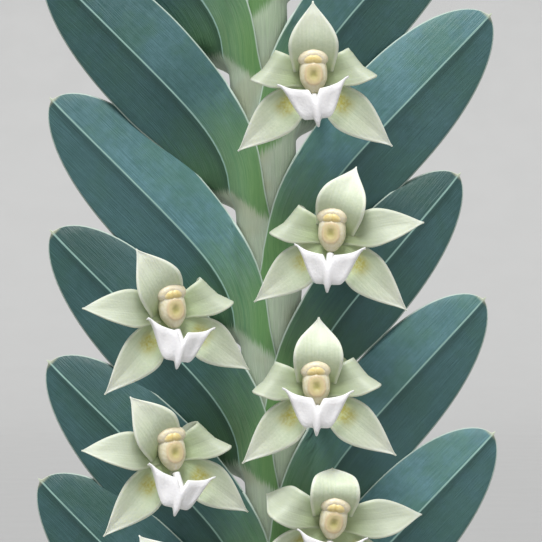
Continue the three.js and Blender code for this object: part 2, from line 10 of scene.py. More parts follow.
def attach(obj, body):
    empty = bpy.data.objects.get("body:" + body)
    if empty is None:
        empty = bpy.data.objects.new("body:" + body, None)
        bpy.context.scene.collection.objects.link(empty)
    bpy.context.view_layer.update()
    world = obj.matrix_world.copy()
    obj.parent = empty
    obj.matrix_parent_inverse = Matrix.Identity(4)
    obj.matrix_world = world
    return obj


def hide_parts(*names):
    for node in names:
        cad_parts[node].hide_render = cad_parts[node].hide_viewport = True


bl_info = {
    "name": "Potted Dichaea glauca",
    "version": (1, 0, 0),
    "blender": (4, 5, 0),
    "location": "View3D > Sidebar > Dichaea",
    "description": "Builds the leafy stems, flowers, pot and potting mix of a small orchid",
    "category": "Object",
}

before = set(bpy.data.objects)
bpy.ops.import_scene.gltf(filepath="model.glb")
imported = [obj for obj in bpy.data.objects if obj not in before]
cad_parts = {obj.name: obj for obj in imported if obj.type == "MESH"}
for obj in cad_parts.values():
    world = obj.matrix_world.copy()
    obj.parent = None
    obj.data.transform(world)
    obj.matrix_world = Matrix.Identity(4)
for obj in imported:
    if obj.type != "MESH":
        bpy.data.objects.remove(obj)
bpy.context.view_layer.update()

MM = 0.001

# The plant's measures, in millimetres and degrees, as its solids have them

GAP = 0.3
POT = {
    "height": 88,
    "foot": 33,
    "neck": 44,
    "rim": 50,
    "rim_height": 19,
    "wall": 5,
    "floor": 7,
    "drain_radius": 4,
    "drain_circle": 19,
}
MIX_TOP = 76
CHIPS = 38
CHIP_SIZE = ((12, 19), (9, 13), (4, 7))
SMALL_CHIPS = 170
SMALL_SIZE = ((4, 10), (0.4, 0.8), (0.16, 0.4))  # length, then width and height as shares of it
CLEAR_OF_STEM = 5.5
GOLDEN_ANGLE = 2.39996
SHEATH = {"half_width": 4.4, "half_depth": 2.25, "flare": 0.65, "internode": 9.25, "first": 7.1}
LEAF = {"length": 39.6, "start": 5, "heading": 45, "bend": 6.2, "fold": (6, 17), "pillow": 12}
STEMS = {
    "stem_main": dict(
        foot=(0.9, 3.0), azimuth=50, lean=(2, -6.5), face=0, length=210, bare=3, size=1.0, seed=11
    ),
    "stem_left": dict(
        foot=(-13, 17), azimuth=172, lean=(30, 44), face=-14, length=121, bare=3, size=0.9, seed=23
    ),
    "stem_right": dict(
        foot=(15, -13), azimuth=-8, lean=(34, 48), face=18, length=96, bare=3, size=0.86, seed=37
    ),
    "shoot_front": dict(
        foot=(-11, -19), azimuth=236, lean=(16, 30), face=-32, length=54, bare=2, size=0.72, seed=41
    ),
}
# leaves of the tall stem with their own length factor, turn of the heading and how far the blade is
# darkened as painted shade
OWN_LEAVES = {
    4: (1.12, 0, 0.5),
    5: (1.0, 0, 0.0),
    6: (1.05, 0, 0.6),
    7: (0.98, -0.5, 0.15),
    8: (1.02, -0.8, 0.75),
    9: (0.9, -2.5, 0.95),
    10: (1.0, -1.6, 0.1),
    11: (1.04, 1.6, 0.0),
    12: (1.0, -2, 0.5),
    13: (1.0, 0, 0.6),
}
# stem, leaf, (out, up, forward), (roll, yaw, pitch), (dorsal sepal's roll, lip's roll and drop),
# bends of the dorsal sepal's and the two petals' tips
BLOOMS = (
    ("stem_main", 13, (6.9, 4.75, 9.2), (1, 1, 2), (1, -5, 0.4), (2, -125, -130)),
    ("stem_main", 11, (8.7, 2.1, 9.2), (5, -8, 2), (16, 0, 1.3), (-25, -125, -12)),
    ("stem_main", 10, (13.7, 2.0, 11.0), (-6, 20, 2), (-25, 17, 1.4), (2, -10, -100)),
    ("stem_main", 9, (5.6, 0.2, 9.4), (-1, 2, 3), (5, 5, 0), (-30, -100, -95)),
    ("stem_main", 8, (14.4, 1.3, 10.6), (-6, 20, 2), (-31, 20, 2.0), (2, -14, -160)),
    ("stem_main", 7, (7.2, 1.0, 8.8), (9, 4, -8), (-6, 0, 1.0), (-75, -70, -20)),
    ("stem_main", 6, (13.6, 0.9, 11.0), (-8, 18, 4), (-28, 8, 1.2), (2, -24, -90)),
    ("stem_main", 5, (6.8, 1.2, 9.2), (3, 4, 4), (4, -3, 0.3), (-20, -90, -60)),
    ("stem_left", 5, (8.6, 2.0, 9.2), (12, 6, 2), (5, 3, 0.6), (2, -80, -40)),
)
# rise: the slope forward at the foot, further out and at the curled tip; slant: how much earlier
# the upper half curls; foot: the width where it starts; skew: the upper half's extra width
DORSAL = dict(kind="dorsal", rise=(52, 2, 2), cup=0.28, foot=0.8, widest=0.46, taper=1.3)
PETAL = dict(kind="petal", rise=(26, 0, 0), cup=0.2, foot=0.6, widest=0.42, taper=1.1)
LATERAL = dict(kind="lateral", rise=(14, -14, -14), cup=0.22, foot=0.6, widest=0.42, taper=1.3)
TEPALS = (
    dict(DORSAL, angle=0, slant=0, skew=0),
    dict(PETAL, angle=-78, slant=0.16, skew=0.15),
    dict(PETAL, angle=78, slant=-0.16, skew=-0.15),
    dict(LATERAL, angle=-132, slant=0, skew=-0.06),
    dict(LATERAL, angle=132, slant=0, skew=0.06),
)
# where the flowers' stalks start on their leaves' lower halves: along, across and behind the keel
AXIL = (5.5, -3.6, -1.15)
TEPAL_SIZE = {"dorsal": (10.2, 3.3), "lateral": (12.9, 2.85), "petal": (11.6, 2.55)}


# Numbers


def smooth(low, high, x):
    """0 below low, 1 above high, and an even curve between."""
    t = np.clip((np.asarray(x, float) - low) / (high - low), 0, 1)
    return t * t * (3 - 2 * t)


def mix(a, b, share):
    """The value that lies at share of the way from a to b."""
    return a + (b - a) * share


def draw(seed, count):
    """A repeatable draw from -1 to 1 for each count of a seed."""
    x = math.sin(seed * 12.9898 + count * 78.233) * 43758.5453
    return (x - math.floor(x)) * 2 - 1


def unit(v):
    """v at length 1."""
    return v / np.linalg.norm(v)


def turn(v, axis, degrees):
    """v turned about an axis of length 1."""
    a = math.radians(degrees)
    return (
        v * math.cos(a) + np.cross(axis, v) * math.sin(a) + axis * (axis @ v) * (1 - math.cos(a))
    )


# Meshes


class Shape:
    """Points, faces, materials and surface values of one piece, gathered before it becomes a mesh."""

    def __init__(self, *value_names):
        self.points = []
        self.faces = []
        self.kinds = []
        self.smooth = []
        self.values = {name: [] for name in value_names}
        self.count = 0

    def add(self, points, faces, kind=0, walls=0, **values):
        """Adds points (in millimetres) and faces, the last ones flat, with values for each name."""
        points = np.asarray(points, float).reshape(-1, 3)
        self.points.append(points)
        self.faces += [tuple(i + self.count for i in face) for face in faces]
        self.kinds += [kind] * len(faces)
        self.smooth += [i < len(faces) - walls for i in range(len(faces))]
        for name, kept in self.values.items():
            kept.append(np.broadcast_to(np.asarray(values.get(name, 0), float).ravel(), len(points)))
        self.count += len(points)

    def add_sheet(self, points, normals, front, back, **values):
        """Adds a thin closed sheet round a grid of points, as thick in front and behind as said."""
        verts, faces = sheet(
            points + normals * front[..., None], points - normals * back[..., None]
        )
        rows, columns = points.shape[:2]
        both = {
            name: np.broadcast_to(value, (2, rows, columns)).ravel() for name, value in values.items()
        }
        self.add(verts, faces, walls=2 * (rows + columns) - 4, **both)

    def piece(self, name, *materials):
        """The finished object, in metres."""
        mesh = bpy.data.meshes.new(name)
        mesh.from_pydata(np.concatenate(self.points) * MM, [], self.faces)
        for material in materials:
            mesh.materials.append(material)
        mesh.polygons.foreach_set("material_index", self.kinds)
        mesh.polygons.foreach_set("use_smooth", self.smooth)
        for value, kept in self.values.items():
            attribute = mesh.attributes.new(value, "FLOAT", "POINT")
            attribute.data.foreach_set("value", np.concatenate(kept))
        mesh.validate()
        mesh.update()
        piece = bpy.data.objects.new(name, mesh)
        bpy.context.scene.collection.objects.link(piece)
        return piece


def outward(points, faces):
    """The faces, all turned round if they face into the body."""
    p = np.asarray(points, float).reshape(-1, 3)
    volume = sum(p[f[0]] @ np.cross(p[f[i]], p[f[i + 1]]) for f in faces for i in range(1, len(f) - 1))
    return faces if volume > 0 else [face[::-1] for face in faces]


def sheet(outer, inner):
    """Points and faces of a thin closed sheet between two grids of points."""
    rows, columns = outer.shape[:2]
    back = rows * columns
    faces = []
    for i in range(rows - 1):
        for j in range(columns - 1):
            a, b = i * columns + j, i * columns + j + 1
            c, d = b + columns, a + columns
            faces.append((a, b, c, d))
            faces.append((d + back, c + back, b + back, a + back))
    rim = [j for j in range(columns)]
    rim += [i * columns + columns - 1 for i in range(1, rows)]
    rim += [(rows - 1) * columns + j for j in range(columns - 2, -1, -1)]
    rim += [i * columns for i in range(rows - 2, 0, -1)]
    for a, b in zip(rim, rim[1:] + rim[:1]):
        faces.append((b, a, a + back, b + back))
    points = np.concatenate([outer.reshape(-1, 3), inner.reshape(-1, 3)])
    return points, outward(points, faces)


def loft(rings, closed=True):
    """Points and faces of a body through rings of points, its ends closed by a fan."""
    rings = np.asarray(rings, float)
    count, sides = rings.shape[:2]
    faces = []
    for i in range(count - 1):
        for j in range(sides):
            k = (j + 1) % sides
            faces.append((i * sides + j, i * sides + k, (i + 1) * sides + k, (i + 1) * sides + j))
    points = rings.reshape(-1, 3)
    if closed:
        middles = [rings[0].mean(0), rings[-1].mean(0)]
        points = np.concatenate([points, middles])
        last = (count - 1) * sides
        for j in range(sides):
            k = (j + 1) % sides
            faces.append((count * sides, k, j))
            faces.append((count * sides + 1, last + j, last + k))
    return points, outward(points, faces)


def tube(path, radii, sides=12):
    """A round body along a path."""
    path = np.asarray(path, float)
    tangents = np.gradient(path, axis=0)
    normal = unit(np.cross(tangents[0], (0.31, 0.87, 0.38)))
    rings = []
    angles = np.linspace(0, 2 * math.pi, sides, endpoint=False)
    for middle, tangent, radius in zip(path, tangents, np.broadcast_to(radii, len(path))):
        tangent = unit(tangent)
        normal = unit(normal - tangent * (normal @ tangent))
        other = np.cross(tangent, normal)
        rings.append(
            middle + radius * (np.outer(np.cos(angles), normal) + np.outer(np.sin(angles), other))
        )
    return loft(rings)


def curve_through(points, count):
    """Points along a smooth curve through the given ones."""
    p = np.asarray(points, float)
    p = np.concatenate([[2 * p[0] - p[1]], p, [2 * p[-1] - p[-2]]])
    out = []
    for t in np.linspace(0, len(points) - 1, count):
        i = min(int(t), len(points) - 2)
        u = t - i
        a, b, c, d = p[i : i + 4]
        square = (2 * a - 5 * b + 4 * c - d) * u**2
        cube = (3 * b - a - 3 * c + d) * u**3
        out.append(0.5 * (2 * b + (c - a) * u + square + cube))
    return np.array(out)


# Leafy stems


class Stem:
    """One leafy stem: a circular arc with a frame that goes along it, and the leaves on it."""

    def __init__(self, name):
        self.name = name
        self.__dict__.update(STEMS[name])

    def frame(self, along):
        """Centre, side, tangent and face at a length along the stem."""
        start, end = (math.radians(a) for a in self.lean)
        rate = (end - start) / self.length
        lean = start + rate * along
        reach = (math.cos(start) - math.cos(lean)) / rate
        rise = (math.sin(lean) - math.sin(start)) / rate
        azimuth = math.radians(self.azimuth)
        towards = np.array([math.cos(azimuth), math.sin(azimuth), 0])
        up = np.array([0, 0, 1.0])
        centre = np.array([*self.foot, MIX_TOP]) + towards * reach + up * rise
        tangent = towards * math.sin(lean) + up * math.cos(lean)
        face = np.array([math.sin(math.radians(self.face)), -math.cos(math.radians(self.face)), 0])
        face = unit(face - tangent * (face @ tangent))
        return centre, np.cross(tangent, face), tangent, face

    def place(self, along, side, up, face):
        """Points at distances from the stem's centre at a length along it."""
        centre, s, t, f = self.frame(along)
        across = centre + np.multiply.outer(side, s)
        return across + np.multiply.outer(up, t) + np.multiply.outer(face, f)

    def girth(self, along):
        """The stem's width there, as a share of a grown stem's."""
        foot = mix(0.8, 1, smooth(-20, 40, along))
        left = self.length - along
        tip = mix(0.42, 1, smooth(0, 46, left)) * mix(0.35, 1, smooth(-1, 5, left))
        return self.size**0.5 * foot * tip

    def nodes(self):
        """Where the leaves leave the stem: (along, number, side)."""
        found = []
        along = SHEATH["first"] * self.size
        count = 0
        while along < self.length - 4:
            side = 1 if (count + self.bare) % 2 else -1
            found.append((along, count - self.bare, side))
            closing = mix(0.45, 1, smooth(0, 36, self.length - along))
            along += SHEATH["internode"] * self.size**0.3 * closing
            count += 1
        return found

    def leaf(self, along, number, side):
        """The measures of one leaf."""
        from_tip = self.length - along
        young = float(smooth(-6, 52, from_tip))
        old = float(mix(0.82, 1, smooth(-1, 4, number)))
        size = self.size * old * mix(0.2, 1, young) * (1 + 0.03 * draw(self.seed, number))
        heading = LEAF["heading"] * mix(0.42, 1, young) + 1.5 * draw(self.seed, number + 50)
        # how far the blade is darkened towards deep green: here a random tone; for the tall stem's
        # listed leaves, painted shade
        deep = 0.35 + 0.3 * draw(self.seed, number + 200)
        if self.name == "stem_main" and number in OWN_LEAVES:
            size, turned, deep = OWN_LEAVES[number]
            heading = LEAF["heading"] + turned
        return dict(
            along=along,
            side=side,
            number=number,
            size=size,
            heading=heading,
            twist=4 * draw(self.seed, number + 100),
            arch=1.2 + 0.8 * draw(self.seed, number + 150),
            young=young,
            deep=deep,
        )


def blade_width(t, front):
    """The half blade's width at t from bend to tip, as a share of its widest."""
    widest, base, end, blunt = (0.55, 0.34, 2.3, 0.53) if front else (0.42, 0.5, 2.3, 0.6)
    t = np.clip(t, 0, 1)
    tip = np.clip(1 - np.clip((t - widest) / (1 - widest), 0, 1) ** end, 0, 1) ** blunt
    foot = 1 - base * (np.clip(widest - t, 0, 1) / widest) ** 1.6
    return np.where(t > widest, tip, foot)


def keel_path(stem, leaf, s):
    """Out, up, forward and heading of the keel at lengths s from the bend; below it s is negative."""
    size = leaf["size"]
    mouth = SHEATH["half_width"] * stem.girth(leaf["along"]) + SHEATH["flare"] * 0.6
    fine = np.arange(0, max(0, s.max()) + 0.3, 0.1)
    turned = 1 - np.exp(-((fine / (LEAF["bend"] * size)) ** 1.2))
    heading = np.radians(mix(LEAF["start"], leaf["heading"], turned))
    out = mouth + np.concatenate([[0], np.cumsum(np.sin(heading[:-1]) * 0.1)])
    up = np.concatenate([[0], np.cumsum(np.cos(heading[:-1]) * 0.1)])
    above = np.maximum(s, 0)
    t = above / (LEAF["length"] * size)
    forward = leaf["arch"] * np.sin(np.pi * np.minimum(1, t)) - 2.2 * t * t * size
    return (
        np.interp(above, fine, out) + 0.03 * np.minimum(s, 0),
        np.interp(above, fine, up),
        forward,
        np.interp(above, fine, heading),
    )


def arm_shape(leaf, s, g, front):
    """Width and openness of a half leaf along it."""
    size = leaf["size"]
    t = s / (LEAF["length"] * size)
    down = np.clip(-s, 0, 8)
    if front:
        foot, spread = (5.2, 0.17) if leaf["side"] < 0 else (6.5, 0.22)
        opened = smooth(-2, 11 * size, s)
        clasp = (foot + spread * down) * g
        width = mix(7.0 * size * blade_width(t, True), clasp, np.exp(-np.maximum(0, s) / 4))
    else:
        opened = smooth(-7.5, 1.5, s)
        clasp = 4.9 * g + 0 * s
        width = mix(7.6 * size * blade_width(t, False), clasp, np.exp(-np.maximum(0, s) / 2))
        width = np.where(s < 0, mix(width, clasp, smooth(0, -5, s)), width)
    beyond = s - LEAF["length"] * size
    point = np.interp(beyond, [0, 0.1, 0.5], [0.24, 0.16, 0.03])
    return np.where(beyond > 0, point, np.maximum(0.24, width)), opened


def arm_curve(width, opened, front):
    """Across and forward steps of a half leaf from its keel, at 61 shares of its width."""
    share = np.linspace(0, 1, 61)
    fold = -math.radians(LEAF["fold"][0]) if front else math.pi - math.radians(LEAF["fold"][1])
    pillow = math.radians(LEAF["pillow"]) * (0.5 - share) * (1 if front else -1)
    clasping = math.radians(58) * (1 - 1.1 * share)
    angle = mix(clasping[None], (fold + pillow)[None], opened[:, None])[:, :-1]
    step = width[:, None] / 60
    none = np.zeros((len(width), 1))
    across = np.concatenate([none, np.cumsum(np.cos(angle) * step, 1)], 1)
    forward = np.concatenate([none, np.cumsum(np.sin(angle) * step, 1)], 1)
    return across, forward if front else -forward


def leaf_surface(stem, leaf, s, v):
    """Middle points, outward normals and half widths of a leaf at lengths s and shares v across."""
    g = stem.girth(leaf["along"])
    path = keel_path(stem, leaf, s)
    middle = len(v) // 2
    share = np.linspace(0, 1, 61)
    cross = np.zeros((len(s), len(v), 2))
    widths = []
    for front in (True, False):
        width, opened = arm_shape(leaf, s, g, front)
        across, forward = arm_curve(width, opened, front)
        columns = range(middle, len(v)) if front else range(middle + 1)
        for j in columns:
            for k, curve in enumerate((across, forward)):
                cross[:, j, k] = [np.interp(abs(v[j]), share, row) for row in curve]
        widths.append(width)
    cross[..., 1] = wrapped(cross, path, s, v, g)
    points = place_cross(stem, leaf, s, path, cross)
    normals = grid_normals(points)
    face = stem.frame(leaf["along"])[3]
    if normals[-6, middle] @ face < 0:
        normals = -normals
    return points, normals, np.array(widths).T


def wrapped(cross, path, s, v, g):
    """The cross-sections' forward steps, laid over the stem and the sheaths that lie deeper."""
    out, _, forward, heading = path
    position = out[:, None] - cross[..., 0] * np.cos(heading)[:, None]
    reach = SHEATH["half_width"] * g + 0.35
    inside = np.clip(1 - (position / reach) ** 2, 0, 1)
    layer = np.clip(0.035 * s, -0.6, 0.3)[:, None]
    skin = 2.45 * g * np.sqrt(inside) + layer - forward[:, None]
    laid = smooth(0, 0.25, inside)
    ahead = cross[..., 1]
    front = v[None] > 0
    rest = smooth(1.5, -1.5, s)[:, None]
    over = np.where(front, np.maximum(ahead, skin), np.minimum(ahead, -skin))
    closed = np.where(front, skin, -skin)
    settled = mix(over, closed, rest * np.where(front, 1, smooth(-2, -7, s)[:, None]))
    keep = (v[None] == 0) | ((~front) & (s[:, None] > -2))
    return np.where(keep, ahead, mix(ahead, settled, laid))


def place_cross(stem, leaf, s, path, cross):
    """The cross-sections of a leaf set in their places along its keel."""
    out, up, forward, heading = path
    twist = np.radians(leaf["twist"]) * smooth(0, 20, s)[:, None]
    n = cross[..., 0] * np.cos(twist) - cross[..., 1] * np.sin(twist)
    b = cross[..., 0] * np.sin(twist) + cross[..., 1] * np.cos(twist)
    n = n + 0.75 * smooth(-0.5, -3.5, s)[:, None] * np.exp(-((n / 1.6) ** 2))
    points = []
    tucked = 1 - 0.16 * smooth(-5.5, -12, s)
    for i in range(len(s)):
        centre, across, tangent, face = stem.frame(leaf["along"] + min(0, s[i]))
        points.append(
            centre
            + np.outer(tucked[i] * leaf["side"] * (out[i] - n[i] * math.cos(heading[i])), across)
            + np.outer(up[i] + n[i] * math.sin(heading[i]), tangent)
            + np.outer(tucked[i] * (forward[i] + b[i]), face)
        )
    return np.array(points)


def add_leaf(shape, stem, leaf, fine):
    """Adds one leaf with its sheath: a thin sheet with a raised keel and a small point."""
    length = LEAF["length"] * leaf["size"]
    rows, columns = (46, 19) if fine else (28, 13)
    blade = 1 - (1 - np.linspace(0, 1, rows - 9)) ** 1.35
    s = np.concatenate([[-17, -13, -10, -7.5, -5.5, -4, -2.8, -1.8, -0.9], blade * length])
    s = np.concatenate([s, length + np.array([0.12, 0.5])])
    v = np.sin(np.linspace(-1, 1, columns) * 1.35) / math.sin(1.35)
    v = np.sign(v) * np.abs(v) ** 1.15
    v[columns // 2] = 0
    points, normals, widths = leaf_surface(stem, leaf, s, v)
    far = np.abs(v)[None] * np.where(v >= 0, widths[:, :1], widths[:, 1:])
    edge = (1 - np.abs(v)[None]) * np.where(v >= 0, widths[:, :1], widths[:, 1:])
    thick = 0.2 * np.minimum(1, 0.35 + edge / 1.2) * smooth(length + 0.2, length - 2.5, s)[:, None]
    thick = np.maximum(thick, 0.05)
    keel = 0.16 * np.exp(-((far / 0.3) ** 2)) * smooth(length, length - 6, s)[:, None]
    veins = 0.012 * np.cos(far * 2 * np.pi / 0.95) * smooth(0.3, 0.9, far) * smooth(0, 0.8, edge)
    tip_shade = 0.35 * (leaf["side"] < 0) * smooth(0.5, 1, s[:, None] / length)
    shape.add_sheet(
        points,
        normals,
        thick + keel + veins,
        thick,
        along=s[:, None] / length,
        reach=s[:, None],
        across=np.where(v >= 0, 1, -1)[None] * far,
        edge=edge,
        under=np.array([0.0, 1.0])[:, None, None],
        own=0.5 + 0.5 * draw(stem.seed + 5, leaf["number"]),
        young=1 - leaf["young"],
        deep=leaf["deep"] + tip_shade,
    )


def add_core(shape, stem):
    """Adds the flattened stem inside the sheaths, and its short young tip."""
    angles = np.linspace(0, 2 * math.pi, 24, endpoint=False)
    rings = []
    steps = np.linspace(-25.7, stem.length - 1, 60)
    for along in steps:
        g = float(stem.girth(along))
        point = math.sqrt(float(smooth(stem.length + 0.3, stem.length - 1.5, along)))
        rings.append(
            stem.place(
                along, 3.9 * g * point * np.cos(angles), 0 * angles, 1.6 * g * point * np.sin(angles)
            )
        )
    points, faces = loft(rings)
    reach = np.repeat(np.full(len(steps), -9.0), len(angles))
    shape.add(points, faces, along=-0.2, reach=np.concatenate([reach, [-9, -9]]), edge=3.0, own=0.4)


def add_bare_sheath(shape, stem, along, side):
    """Adds an old leafless sheath at the stem's foot, its mouth cut off slantwise."""
    leaf = dict(along=along, side=side, number=-1, size=0.5, heading=20, twist=0, arch=0, young=1)
    s = np.array([-14, -11, -8.5, -6.5, -4.5, -3, -2, -1.2, -0.5])
    v = np.linspace(-1, 1, 17)
    row, row_normals, _ = leaf_surface(stem, leaf, np.array([-9.5, -9, -8.5, -8, -7.5, -7]), v)
    points, normals = [], []
    for up in s:
        points.append(row[3] + stem.frame(along + up)[0] - stem.frame(along - 8)[0])
        normals.append(row_normals[3])
    points, normals = np.array(points), np.array(normals)
    tangent = stem.frame(along)[2]
    drop = np.abs(v) ** 1.5 * 4.5 * smooth(-9, -0.5, s)[:, None]
    points -= drop[..., None] * tangent
    loose = 0.035 * s[:, None] + 0.0 * v[None]
    shape.add_sheet(
        points,
        normals,
        0.16 + loose + 0.1 * np.exp(-((v / 0.09) ** 2))[None],
        0.1 - loose,
        along=-0.1,
        reach=s[:, None] - 1.0,
        across=v[None] * 5,
        edge=np.minimum((1 - np.abs(v))[None] * 5, -s[:, None] - 0.4),
        own=0.5 + 0.5 * draw(stem.seed + 9, along),
        old=1.0,
    )


def bloom_frame(bloom):
    """Centre, side, tangent and face of a flower, and the foot of its stalk."""
    name, number, (out, up, forward), (roll, yaw, pitch) = bloom[:4]
    stem = Stem(name)
    along, _, side = next(node for node in stem.nodes() if node[1] == number)
    _, s, t, f = stem.frame(along)
    centre = stem.place(along, side * out, up, forward)
    axes = []
    for axis in (s, t, f):
        axis = turn(axis, f, -roll)
        axis = turn(axis, s, -pitch)
        axes.append(turn(axis, t, yaw))
    leaf = stem.leaf(along, number, side)
    root_at = np.array(AXIL[:1])
    beside = np.array([[AXIL[1:]]])
    root = place_cross(stem, leaf, root_at, keel_path(stem, leaf, root_at), beside)[0, 0]
    return (centre, *axes), root


def at(place, x, y, z):
    """Points of a flower from its centre: across, up its face, and forward."""
    centre, s, t, f = place
    return centre + np.multiply.outer(x, s) + np.multiply.outer(y, t) + np.multiply.outer(z, f)


def stalk_joint(place):
    """Where a flower's stalk ends and its ovary begins, and the direction between them."""
    back = at(place, 0, 0, 0)
    joint = at(place, 0, -0.8, -4)
    return joint, unit(back - joint)


def add_stalk(shape, bloom):
    """Adds the thin stalk of a flower, from the leaf's axil."""
    place, root = bloom_frame(bloom)
    joint, direction = stalk_joint(place)
    end = joint - direction * GAP
    bend = end - direction * 1.6
    path = curve_through([root, mix(root, bend, 0.5), bend, end], 16)
    points, faces = tube(path, np.linspace(0.72, 0.66, 16), 12)
    shape.add(points, faces, kind=1, along=0.05, reach=4, edge=2.0, own=0.5)


def make_stem(name):
    """One leafy stem as a piece: core, bare sheaths, leaves and flower stalks."""
    stem = Stem(name)
    shape = Shape("along", "reach", "across", "edge", "under", "own", "young", "old", "deep")
    add_core(shape, stem)
    fine = name == "stem_main"
    for along, number, side in stem.nodes():
        if number < 0:
            add_bare_sheath(shape, stem, along, side)
        else:
            add_leaf(shape, stem, stem.leaf(along, number, side), fine)
    for bloom in BLOOMS:
        if bloom[0] == name:
            add_stalk(shape, bloom)
    return shape.piece(name + "_fine", leaf_material(), stalk_material())


# Flowers


def tepal_width(t, foot, widest, taper):
    """A sepal's or petal's width along it, as a share of its widest."""
    inner = mix(foot, 1, smooth(0, widest, t))
    outer = (1 - np.clip((t - widest) / (1 - widest), 0, 1) ** 1.6) ** taper
    return np.where(t < widest, inner, outer)


def rise_at(rise, t):
    """The slope of a sepal or petal at a share of its length, in radians."""
    foot, middle, tip = rise
    return np.radians(mix(mix(foot, middle, t), tip, smooth(0.35, 0.65, t)))


def tepal_grid(place, tepal, rows=34, columns=15):
    """Middle points, normals, and along and across shares of a sepal or petal."""
    length, half_width = TEPAL_SIZE[tepal["kind"]]
    t = np.linspace(0, 1, rows)[:, None]
    v = np.linspace(-1, 1, columns)[None]
    width = tepal_width(t, tepal["foot"], tepal["widest"], tepal["taper"])
    radial = 1.2 + 0 * t * v
    forward = 0.3 + 0 * t * v
    for i in range(10):
        slope = rise_at(tepal["rise"], t * (i + 0.5) / 10 + tepal["slant"] * v * width)
        radial = radial + np.cos(slope) * length * t / 10
        forward = forward + np.sin(slope) * length * t / 10
    half = np.maximum(0.06, half_width * width)
    ripple = 0.1 * np.sin(t * 9 + tepal["angle"]) * np.abs(v) ** 3 * smooth(0.2, 0.6, t)
    bowl = tepal["cup"] * v**2 * half + ripple
    along = radial - np.sin(slope) * bowl
    front = forward + np.cos(slope) * bowl
    off = v * half * (1 + tepal["skew"] * v)
    a = math.radians(tepal["angle"])
    x = along * math.sin(a) + off * math.cos(a)
    y = along * math.cos(a) - off * math.sin(a)
    points = at(place, x, y, front)
    normals = grid_normals(points)
    if normals[rows // 4, columns // 2] @ place[3] < 0:
        normals = -normals
    return points, normals, t + 0 * x, v + 0 * x, half + 0 * x


def grid_normals(points):
    """Normals of a grid of points."""
    du = np.gradient(points, axis=0)
    dv = np.gradient(points, axis=1)
    n = np.cross(dv, du)
    return n / np.maximum(1e-9, np.linalg.norm(n, axis=-1, keepdims=True))


def add_tepal(shape, place, tepal):
    """Adds a fleshy sepal or petal with thin edges and a shallow groove along its middle."""
    points, normals, t, v, half = tepal_grid(place, tepal)
    edge = (1 - np.abs(v)) * half
    thick = np.maximum(0.05, 0.26 * np.minimum(1, 0.3 + edge / 1.1) * smooth(1.02, 0.8, t))
    groove = -0.07 * np.exp(-((v * half / 0.28) ** 2)) * smooth(0.05, 0.2, t) * smooth(1, 0.75, t)
    kind = {"dorsal": 0.0, "petal": 1.0, "lateral": 2.0}[tepal["kind"]]
    shape.add_sheet(
        points, normals, thick + groove, thick, along=t, across=v * half, edge=edge, part=kind
    )


def ball(rows, columns):
    """Points and faces of a ball of radius 1."""
    rings = []
    for i in range(rows + 1):
        a = math.pi * (i + 0.02) / (rows + 0.04)
        b = np.linspace(0, 2 * math.pi, columns, endpoint=False)
        level = np.full(columns, math.cos(a))
        rings.append(np.c_[math.sin(a) * np.cos(b), math.sin(a) * np.sin(b), level])
    return loft(rings)


def add_column(shape, place):
    """Adds the column with its ringed stigma, the anther cap under its hood and the ovary behind."""
    points, faces = ball(40, 44)
    px, py, pz = points.T
    ahead = smooth(0.1, 0.5, pz)
    spot = np.hypot(px, (py + 0.06) * 1.35)
    dent = np.exp(-((spot / 0.2) ** 2)) * ahead
    rings = np.exp(-(((spot - 0.52) / 0.09) ** 2)) + 0.6 * np.exp(-(((spot - 0.3) / 0.05) ** 2))
    rings = rings * ahead
    square = np.sign(points) * np.abs(points) ** np.array([0.85, 0.8, 1])
    body = square * np.array([1.85, 2.7, 1.6]) * (1 + 0.05 * rings - 0.18 * dent)[:, None]
    body[:, 0] *= 1 - 0.28 * smooth(-0.1, -1, py)
    where = at(place, body[:, 0], body[:, 1] + 0.7, body[:, 2] + 2.0)
    shape.add(where, faces, kind=1, along=py, across=spot, edge=rings, part=dent)
    hood = points * np.array([2.1, 1.35, 1.35])
    hollow = np.exp(-((np.hypot(px / 0.62, (py + 0.25) / 0.62)) ** 4)) * ahead
    hood *= (1 - 0.22 * hollow)[:, None]
    where = at(place, hood[:, 0], hood[:, 1] + 2.75, hood[:, 2] + 2.35)
    shape.add(where, faces, kind=1, along=py, across=2.0, edge=0.3, part=0.0)
    cleft = 1 - 0.14 * np.exp(-((px / 0.13) ** 2)) * ahead
    cap = points * np.array([1.3, 0.72, 0.75]) * cleft[:, None]
    where = at(place, cap[:, 0], cap[:, 1] + 2.62 - 0.25 * px**2, cap[:, 2] + 3.0)
    shape.add(where, faces, kind=2, along=py, across=px, edge=1.0, part=0.0)
    joint, _ = stalk_joint(place)
    path = curve_through([joint, mix(joint, at(place, 0, 0, 0), 0.5), at(place, 0, 0, 1.0)], 14)
    tube_points, tube_faces = tube(path, np.linspace(0.78, 1.35, 14), 14)
    shape.add(tube_points, tube_faces, kind=3, along=0.4, edge=1.0)


